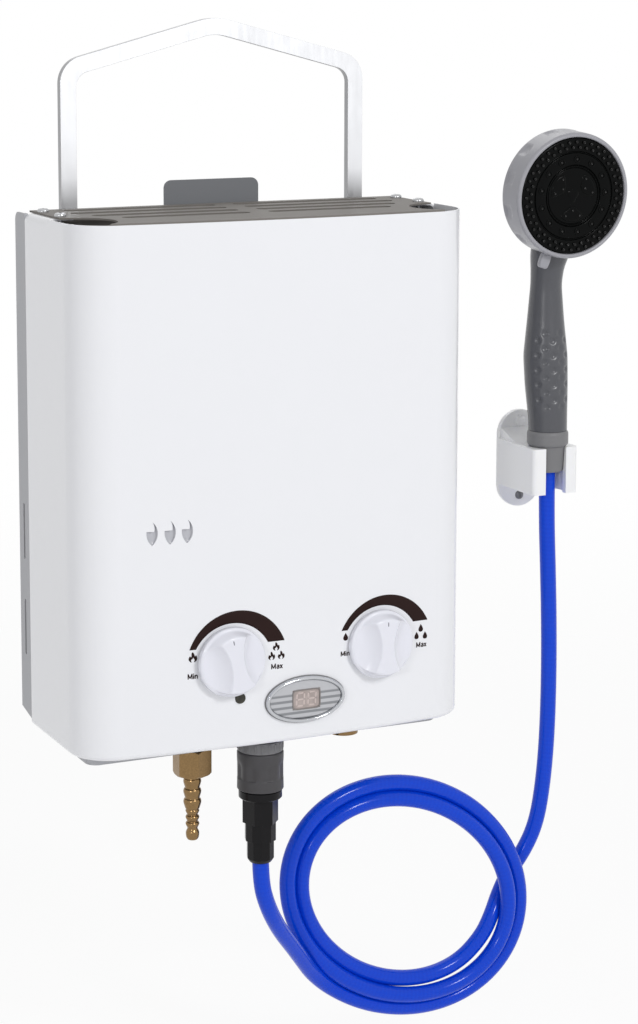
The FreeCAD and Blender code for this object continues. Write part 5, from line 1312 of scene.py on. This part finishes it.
@dataclass
class DisplayPanel:
    """The oval display: a bright bezel, striped fascia, and a window with two digits; and the sight glass."""

    across: float = 13.6
    height: float = -294.8
    cover: float = -130.3
    fascia_front: float = -131.6
    half: Pair = (29.5, 16.0)
    window: Pair = (20.5, 13.6)
    window_across: float = 14.2
    window_front: float = -131.3
    ring: tuple[Pair, ...] = ((0.0, -0.2), (0.0, 1.5), (0.35, 2.8), (1.1, 3.3), (1.9, 3.2), (2.5, 2.4),
                              (2.75, 1.2), (2.75, -1.4), (1.2, -1.4))
    # section of a grey band round the ring's outer edge: painted reflection, the ring's dark outer reflection
    seal: tuple[Pair, ...] = ((-0.55, -0.2), (-0.55, 0.35), (-0.2, 0.7), (0.4, 0.7), (0.4, -0.2))
    digit: Pair = (5.6, 9.0)
    pitch: float = 8.6
    bar: float = 1.15
    gap: float = 0.35
    pad: float = 0.12
    slant: float = 0.06

    def oval_ring(self, line: tuple[Pair, ...]) -> np.ndarray:
        """Carries a section round the oval: e(a) less d times the oval's outward normal, raised by h.

        Args:
            line: the section's points (d inwards, h outwards from the cover).

        Returns:
            section x angles x 3, in its own xy.
        """
        angle = angles(144)
        round_it = np.stack([np.cos(angle), np.sin(angle)], 1)
        normal = round_it / np.array(self.half)
        normal /= np.linalg.norm(normal, axis=1, keepdims=True)
        section = eased(line, 0.4, 4, closed=True)
        return raised(np.array(self.half) * round_it - section[:, :1, None] * normal, section[:, 1:])

    def border(self) -> np.ndarray:
        """The window's dark border: |x|^7 + |y|^7 = 1, or nearly so, between two sizes and 0.5 mm proud.

        Returns:
            rows x columns x 3, placed.
        """
        edge, half = soft_box(96, (1.0, 1.0), (0.28, 0.28)), np.array(self.window) / 2
        rows = ((0.35, -0.4), (0.35, 0.35), (0.2, 0.5), (-0.35, 0.5), (-0.5, 0.35), (-0.5, -0.4))
        flat = np.stack([raised(edge * (half + grow), rise) for grow, rise in rows])
        return facing_front(flat, (self.window_across, self.fascia_front, self.height))

    def digits(self) -> np.ndarray:
        """The bars of two digits: six-sided pads, each turned and moved to its place in the digit.

        Returns:
            bars x rows x points x 3, placed.
        """
        wide, tall = self.digit[0] / 2, self.digit[1] / 4
        long, thick = wide - self.gap, self.bar / 2
        flat = np.array([[-long, 0], [-long + thick, -thick], [long - thick, -thick], [long, 0],
                         [long - thick, thick], [-long + thick, thick]])
        lying = pillow(flat, self.pad, 3)
        standing = spun(lying * np.array([(tall - self.gap) / long, 1.0, 1.0]), 90.0)
        bars = [lying + np.array([0.0, 2 * tall * k, 0.0]) for k in (-1, 0, 1)]
        bars += [standing + np.array([wide * side, tall * k, 0.0]) for side in (-1, 1) for k in (-1, 1)]
        bars = np.stack(bars)
        both = np.concatenate([bars + np.array([self.pitch / 2 * side, 0.0, 0.0]) for side in (-1, 1)])
        both[..., 0] += self.slant * both[..., 1]
        return facing_front(both, (self.window_across, self.window_front, self.height))

    def build(self) -> None:
        """Each part of the panel, and the dark sight glass beside it."""
        where = (self.across, self.cover, self.height)
        ring = Shape().band(facing_front(self.oval_ring(self.ring), where))
        ring.piece("display_ring", "heater", Finish.BRIGHT_CHROME, ("display_bezel",))
        # painted reflection: a grey band just outside the bright ring stands for its dark outer reflection
        seal = Shape().band(facing_front(self.oval_ring(self.seal), where))
        seal.piece("display_dark_reflection", "heater", Finish.MID_GREY_PLASTIC, slot="black_plastic")
        dressed("display_fascia", Finish.SILVER_PLASTIC)
        dressed("display_window", Finish.DISPLAY_GLASS)
        Shape().band(self.border()).piece("window_border", "heater", Finish.BORDER_GREY, slot="black_plastic")
        Shape().solid(self.digits()).piece("window_digits", "heater", Finish.DIGIT_PALE, slot="display_glass")
        dressed("sight_glass", Finish.SIGHT_DARK, slot="display_glass")


@dataclass
class GasInlet:
    """The brass hexagon nut and the hose tail with two sizes of barbs."""

    across: float = -51.5
    depth: float = -86.0
    nut_low: float = -352.0
    end: float = -399.1
    upper: Pair = (5.0, 6.3)
    lower: Pair = (3.5, 4.85)

    def tail(self) -> np.ndarray:
        """Profile of the tail: each barb falls from its ridge along a slope to the next one's neck.

        Returns:
            rows x 2, radius and height.
        """
        line = [(5.4, self.nut_low + 3.0), (5.4, self.nut_low - 3.0)]
        z = self.nut_low - 3.0
        for (root, ridge), length in ((self.upper, 22.0), (self.lower, 14.0)):
            pitch = length / 3
            for _ in range(3):
                line += [(ridge - 0.5, z), (ridge, z - 0.22 * pitch), (ridge - 0.1, z - 0.4 * pitch),
                         (root, z - 0.94 * pitch)]
                z -= pitch
        line += [(3.7, z - 0.6), (4.6, z - 2.2), (4.75, (z + self.end) / 2), (4.4, self.end + 1.6),
                 (3.4, self.end), (2.4, self.end), (2.4, self.end + 6.0)]
        return eased(line, 0.9, 6)

    def build(self) -> None:
        """The nut and the tail."""
        dressed("gas_inlet_nut", Finish.BRASS, 14.0, 0.25)
        tail = turned(filled(self.tail(), 0.25), 96) + np.array([self.across, self.depth, 0.0])
        Shape().solid(tail).piece("gas_tail", "heater", Finish.BRASS, ("gas_barb",), crisp=50.0)


@dataclass
class QuickConnector:
    """The outlet's ribbed adapter, the sliding sleeve with finger dimples, its ring, body and hose nut."""

    depth: float = -86.0
    dimples: int = 8
    dimple_height: float = -355.5
    dimple_deep: float = 1.4
    sleeve: tuple[Pair, ...] = ((12.4, -341.2), (15.6, -341.2), (16.4, -342.2), (16.4, -346.2),
                                (16.2, -350.5), (16.2, -355.5), (16.2, -359.5), (16.3, -363.6),
                                (16.4, -368.7), (15.5, -368.7), (15.5, -360.6), (12.4, -360.6))
    copies: tuple[tuple[str, Finish, float, str], ...] = (
        ("outlet_collar", Finish.MID_GREY_PLASTIC, 0.25, "light_grey_plastic"),
        ("connector_ring", Finish.BLACK_PLASTIC, 0.0, ""), ("connector_body", Finish.BLACK_PLASTIC, 0.45, ""),
        ("hose_nut", Finish.BLACK_PLASTIC, 0.4, ""))

    def build(self) -> None:
        """The sleeve is a shape of revolution less a Gaussian hollow for each finger; the rest are copies."""
        line, gap = filled(eased(self.sleeve, 0.8, 5, closed=True), 0.7), FULL / self.dimples
        off = (angles(180) + gap / 2) % gap - gap / 2
        hollow = np.exp(-((line[:, 1:] - self.dimple_height) / 6.5) ** 4 - (off[None] * 16.0 / 3.6) ** 2)
        hollow = self.dimple_deep * hollow * (line[:, :1] > 15.0) * (line[:, 1:] > -360.5)
        sleeve = Shape().band(turned(line, 180, hollow) + np.array([0.0, self.depth, 0.0]))
        sleeve.piece("sleeve_skin", "connector_sleeve", Finish.DARK_GREY_PLASTIC, ("connector_sleeve",),
                     crisp=50.0)
        for node, finish, edge, slot in self.copies:
            dressed(node, finish, 20.0, edge, slot)


@dataclass
class HandShower:
    """The hand shower: grip with pressed dots, bowl, selector ring, face with nozzles, collar and nut."""

    axis: Pair = (252.0, -45.0)
    rim: float = 34.0
    head: Point = (252.0, -77.0, 36.0)
    tilt: float = 4.5
    ring_radius: float = 46.0
    ring_deep: float = 24.0
    tab_turn: float = -18.0
    sections: tuple[tuple[float, float, float, float], ...] = (
        (174.0, 14.25, 14.25, 0.0), (166.0, 14.4, 14.4, -0.4), (141.0, 15.9, 15.9, -3.2),
        (119.0, 16.4, 16.4, -5.0), (91.5, 13.6, 13.6, -5.6), (66.0, 11.5, 11.5, -5.6),
        (54.0, 12.2, 12.4, -4.2), (44.0, 14.4, 14.2, -1.0), (36.0, 15.4, 14.2, 2.0), (28.0, 14.4, 13.4, 4.0),
        (16.0, 10.0, 9.0, 5.0))
    dots_even: tuple[float, ...] = (-72.4, -83.2, -94.0, -104.8, -116.0)
    dots_odd: tuple[float, ...] = (-66.8, -78.0, -88.4, -99.6, -110.5, -121.2)
    dot_size: float = 2.1
    dot_deep: float = 1.0
    bowl_deep: float = 18.0
    lobes: Point = (150.0, 30.0, -90.0)
    holes: tuple[int, float, float] = (13, 26.8, 4.0)
    seat: float = -151.7

    def at_head(self, points: np.ndarray) -> np.ndarray:
        """Places points drawn about the head's axis, the face plane at z = 0."""
        return facing_front(points, self.head, self.tilt)

    def grip(self) -> None:
        """Ovals whose half axes run smoothly through the sections, less a Gaussian hollow for each dot."""
        table = np.array(self.sections)
        z = np.linspace(self.rim - table[0, 0], self.rim - table[-1, 0], 240)
        sizes = sampled(table[::-1, 1:], table[::-1, 0] - self.rim, -z)
        sizes = averaged(np.pad(sizes, ((12, 12), (0, 0)), "edge"), 25)
        turn = np.linspace(-math.pi, math.pi, 132, endpoint=False)
        dots = np.array([(np.radians(-52.0 + 22.0 * k), level) for k in range(5)
                         for level in (self.dots_odd if k % 2 else self.dots_even)])
        around_it = (turn[None, :, None] - dots[:, 0]) * sizes[:, :1, None]
        apart = around_it ** 2 + (z[:, None, None] - dots[:, 1]) ** 2
        hollow = self.dot_deep * np.exp(-(apart / self.dot_size ** 2) ** 1.5).sum(-1)
        x = self.axis[0] + (sizes[:, :1] - hollow) * np.sin(turn)
        y = self.axis[1] - sizes[:, 2:] - (sizes[:, 1:2] - hollow) * np.cos(turn)
        grip = Shape().solid(raised(np.stack([x, y], -1), z[:, None]))
        grip.piece("grip", "handset", Finish.GRIP_GREY, ("handset_shell",), "dark_grey_plastic")

    def bowl(self) -> None:
        """The head's rounded back: a circle's arc turned about the axis, with the spigot inside the ring."""
        deep, edge = self.bowl_deep, self.ring_radius - 1.8
        ball = (edge ** 2 + deep ** 2) / (2 * deep)
        rise = -self.ring_deep - 0.3
        radius = edge * np.sin(np.linspace(0.01, math.pi / 2, 28))
        height = rise - deep + ball - np.sqrt(ball ** 2 - radius ** 2)
        line = np.vstack([np.stack([radius, height], 1), [(39.9, rise), (39.9, -11.9)]])
        bowl = Shape().solid(self.at_head(turned(line, 128)))
        bowl.piece("head_bowl", "handset", Finish.LIGHT_GREY_PLASTIC, crisp=40.0)

    def ring(self) -> None:
        """The selector ring, less an oval hollow for each finger on its rear half, and its thumb tab."""
        outer, deep = self.ring_radius, self.ring_deep
        line = [(42.6, -11.9), (42.6, -0.9), (43.2, 0.0), (44.7, 0.0), (outer, -1.5), (outer, -8.0),
                (outer, -deep + 1.0), (outer - 1.0, -deep), (40.1, -deep), (40.1, -11.9)]
        line = filled(eased(line, 0.9, 5, closed=True), 1.0)
        off = (angles(240) % (FULL / 12)) - FULL / 24
        near = np.exp(-((line[:, 1:] + 16.5) / 4.6) ** 4 - (off[None] * outer / 4.2) ** 4)
        shape = Shape().band(self.at_head(turned(line, 240, 1.5 * near * (line[:, :1] > 43.5))))
        tongue = soft_box(48, (4.0, 6.0), (0.5, 0.6), (0.0, -outer - 4.5))
        middle = tongue.mean(0)
        pad = np.stack([raised(middle + share * (tongue - middle), level) for share, level in
                        ((0.5, -12.4), (0.9, -12.2), (1.0, -11.6), (1.0, -8.6), (0.9, -8.0), (0.5, -7.8))])
        shape.solid(self.at_head(spun(pad, self.tab_turn)))
        shape.piece("ring_skin", "selector_ring", Finish.LIGHT_GREY_PLASTIC, ("selector_ring",), crisp=45.0)

    def lobe(self, degrees: float) -> np.ndarray:
        """A rounded wedge pad: r = 13.4 + 5.8 s', angle = degrees + 42 t' (0.75 + 0.25 s').

        s' and t' map a square to a disc, and the pad's edge drops by a power of the distance to it.

        Args:
            degrees: the direction of its middle.

        Returns:
            rows x columns x 3 about the head's axis.
        """
        s, t = np.meshgrid(np.linspace(-1, 1, 26), np.linspace(-1, 1, 30), indexing="ij")
        disc_s, disc_t = s * np.sqrt(1 - t ** 2 / 2.6), t * np.sqrt(1 - s ** 2 / 2.6)
        radius = 13.4 + 5.8 * disc_s
        angle = np.radians(degrees) + np.radians(42.0) * disc_t * (0.75 + 0.25 * disc_s)
        edge = np.maximum(np.abs(s), np.abs(t))
        rise = -1.25 + 0.9 * (1 - edge ** 8) - 0.4 * (edge == 1)
        return raised(np.stack([radius * np.cos(angle), radius * np.sin(angle)], -1), rise)

    def face(self) -> None:
        """The face disc with its grooves, three wedge lobes, ringed holes and small middle boss."""
        line = [(0.6, -1.2), (20.1, -1.2), (20.4, -1.9), (20.9, -1.9), (21.2, -1.0), (21.7, -1.0),
                (22.0, -1.9), (22.5, -1.9), (22.9, -0.6), (31.1, -0.6), (31.5, -1.8), (32.3, -1.8),
                (32.7, -0.5), (41.4, -0.5), (42.4, -1.3), (42.4, -11.5), (30.0, -11.5)]
        shape = Shape().solid(self.at_head(turned(eased(line, 0.4, 4), 160)))
        small = turned(eased([(1.7, -0.9), (1.9, -0.1), (2.7, -0.1), (2.9, -0.9)], 0.2, 3, closed=True), 20)
        shape.band(self.at_head(small + around(*self.holes)))
        for degrees in self.lobes:
            shape.grid(self.at_head(self.lobe(degrees)))
        angle = angles(48)
        reach = 4.3 + 0.9 * np.cos(3 * angle + math.pi)
        boss = np.stack([reach * np.cos(angle), reach * np.sin(angle)], 1)
        boss = pillow(spun(raised(boss), 90.0)[:, :2], 0.5) + np.array([0, 0, -1.2])
        shape.solid(self.at_head(boss))
        shape.piece("face_disc", "handset", Finish.FACE_BLACK, ("spray_face",), "black_plastic", 50.0)

    def nozzles(self) -> None:
        """Soft nozzles: one small dome of revolution set at every place by adding its grid to the places."""
        dome = turned([(1.35, -1.2), (1.3, 0.0), (1.1, 0.75), (0.75, 1.0), (0.55, 0.75), (0.2, 0.45)], 12)
        small = turned([(1.0, -1.4), (0.95, -0.3), (0.7, 0.05), (0.45, -0.1), (0.15, -0.25)], 10)
        shape = Shape()
        for places in ((40, 39.3, 0.0), (40, 35.5, 4.5)):
            shape.solid(self.at_head(dome + around(*places)))
        shape.solid(self.at_head(small + around(*self.holes)))
        for degrees in self.lobes:
            turn = np.radians([degrees - 22.0, degrees + 22.0, degrees])
            flat = np.array([[15.6], [15.6], [10.6]]) * np.stack([np.cos(turn), np.sin(turn)], 1)
            shape.solid(self.at_head(small + raised(flat, 0.25)[:, None, None]))
        shape.piece("nozzles", "handset", Finish.BLACK_RUBBER, ("spray_nozzles",))

    def joint(self) -> None:
        """The collar under the grip and the cone nut, both of revolution about the grip's axis."""
        seat = self.seat
        rows = (("grip_collar", "handset_collar", "light_grey_plastic",
                 ((9.0, seat), (13.6, seat), (15.35, seat + 1.9), (15.35, seat + 9.6), (14.35, seat + 11.7),
                  (9.0, seat + 11.7))),
                ("cone_nut", "handset_nut", "dark_grey_plastic",
                 ((6.3, seat + 2.0), (13.1, seat + 0.02), (13.1, seat - 0.6), (11.6, seat - 18.4),
                  (11.0, seat - 19.0), (6.3, seat - 19.0))))
        for name, node, slot, section in rows:
            rings = turned(filled(eased(section, 0.8, 5, closed=True), 1.2), 96) + np.array([*self.axis, 0.0])
            Shape().band(rings).piece(name, "handset", Finish.MID_GREY_PLASTIC, (node,), slot, 45.0)

    def build(self) -> None:
        """Each part of the hand shower."""
        self.grip()
        self.bowl()
        self.ring()
        self.face()
        self.nozzles()
        self.joint()


@dataclass
class WallHolder:
    """The white wall holder, its dark lower screw and the white cap over the upper one."""

    across: float = 252.0
    screw_height: float = -196.9
    cap_height: float = -139.9
    plate_front: float = -4.0
    dome: tuple[Pair, ...] = ((0.2, 1.1), (1.4, 1.35), (2.6, 1.1), (3.4, 0.4), (3.5, -0.3))
    cap: tuple[Pair, ...] = ((0.2, 1.9), (2.4, 1.7), (3.9, 1.1), (4.4, 0.2), (4.4, -0.3))

    def stand(self, points: np.ndarray, height: float) -> Shape:
        """The points as a solid that faces the front at a height on the plate."""
        return Shape().solid(facing_front(points, (self.across, self.plate_front, height)))

    def build(self) -> None:
        """A copy with rounded edges, a low dome with a slot for the screw, and a plain dome for the cap."""
        # painted light: the holder and its cap take a brighter copy of the white plastic
        dressed("holder", Finish.HOLDER_WHITE, 28.0, 2.2, "white_plastic")
        dome = turned(filled(self.dome, 0.3), 48)
        dome[..., 2] -= 0.7 * np.exp(-(dome[..., 0] / 0.45) ** 4) * (np.abs(dome[..., 1]) < 2.4)
        screw = self.stand(dome, self.screw_height)
        screw.piece("holder_screw", "heater", Finish.MID_GREY_PLASTIC, slot="small_steel")
        cap = self.stand(turned(filled(self.cap, 0.3), 48), self.cap_height)
        cap.piece("holder_screw_cap", "heater", Finish.HOLDER_WHITE, slot="white_plastic")


@dataclass
class Inside:
    """The nodes in the finish of their slots, and smoother copies of the two brass nipples."""

    nipples: tuple[str, ...] = ("water_inlet_nipple", "outlet_nipple")

    def build(self) -> None:
        """Puts the slot's material on each node, and adds the copies."""
        for row in frame["record"]["subparts"]:
            cad = frame["nodes"][row["node"]]
            cad.data.materials.clear()
            cad.data.materials.append(Finish[row["material_slot"].upper()].made())
        for node in self.nipples:
            dressed(node, Finish.BRASS, 28.0)


def main() -> None:
    """Builds the studio, the hose and the sub-assemblies in order."""
    logging.basicConfig(level=logging.INFO, format="%(name)s: %(message)s")
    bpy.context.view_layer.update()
    bpy.context.scene.view_settings.view_transform = "Standard"
    for part in (Studio(), Hose(), Inside(), Cabinet(), Handle(), PrintedScales(),
                 Knob("gas_knob", -41.6, -130.58, 12.0), Knob("water_knob", 70.6, -129.87, 0.0),
                 DisplayPanel(), GasInlet(), QuickConnector(), HandShower(), WallHolder()):
        part.build()


if __name__ == "__main__":
    main()
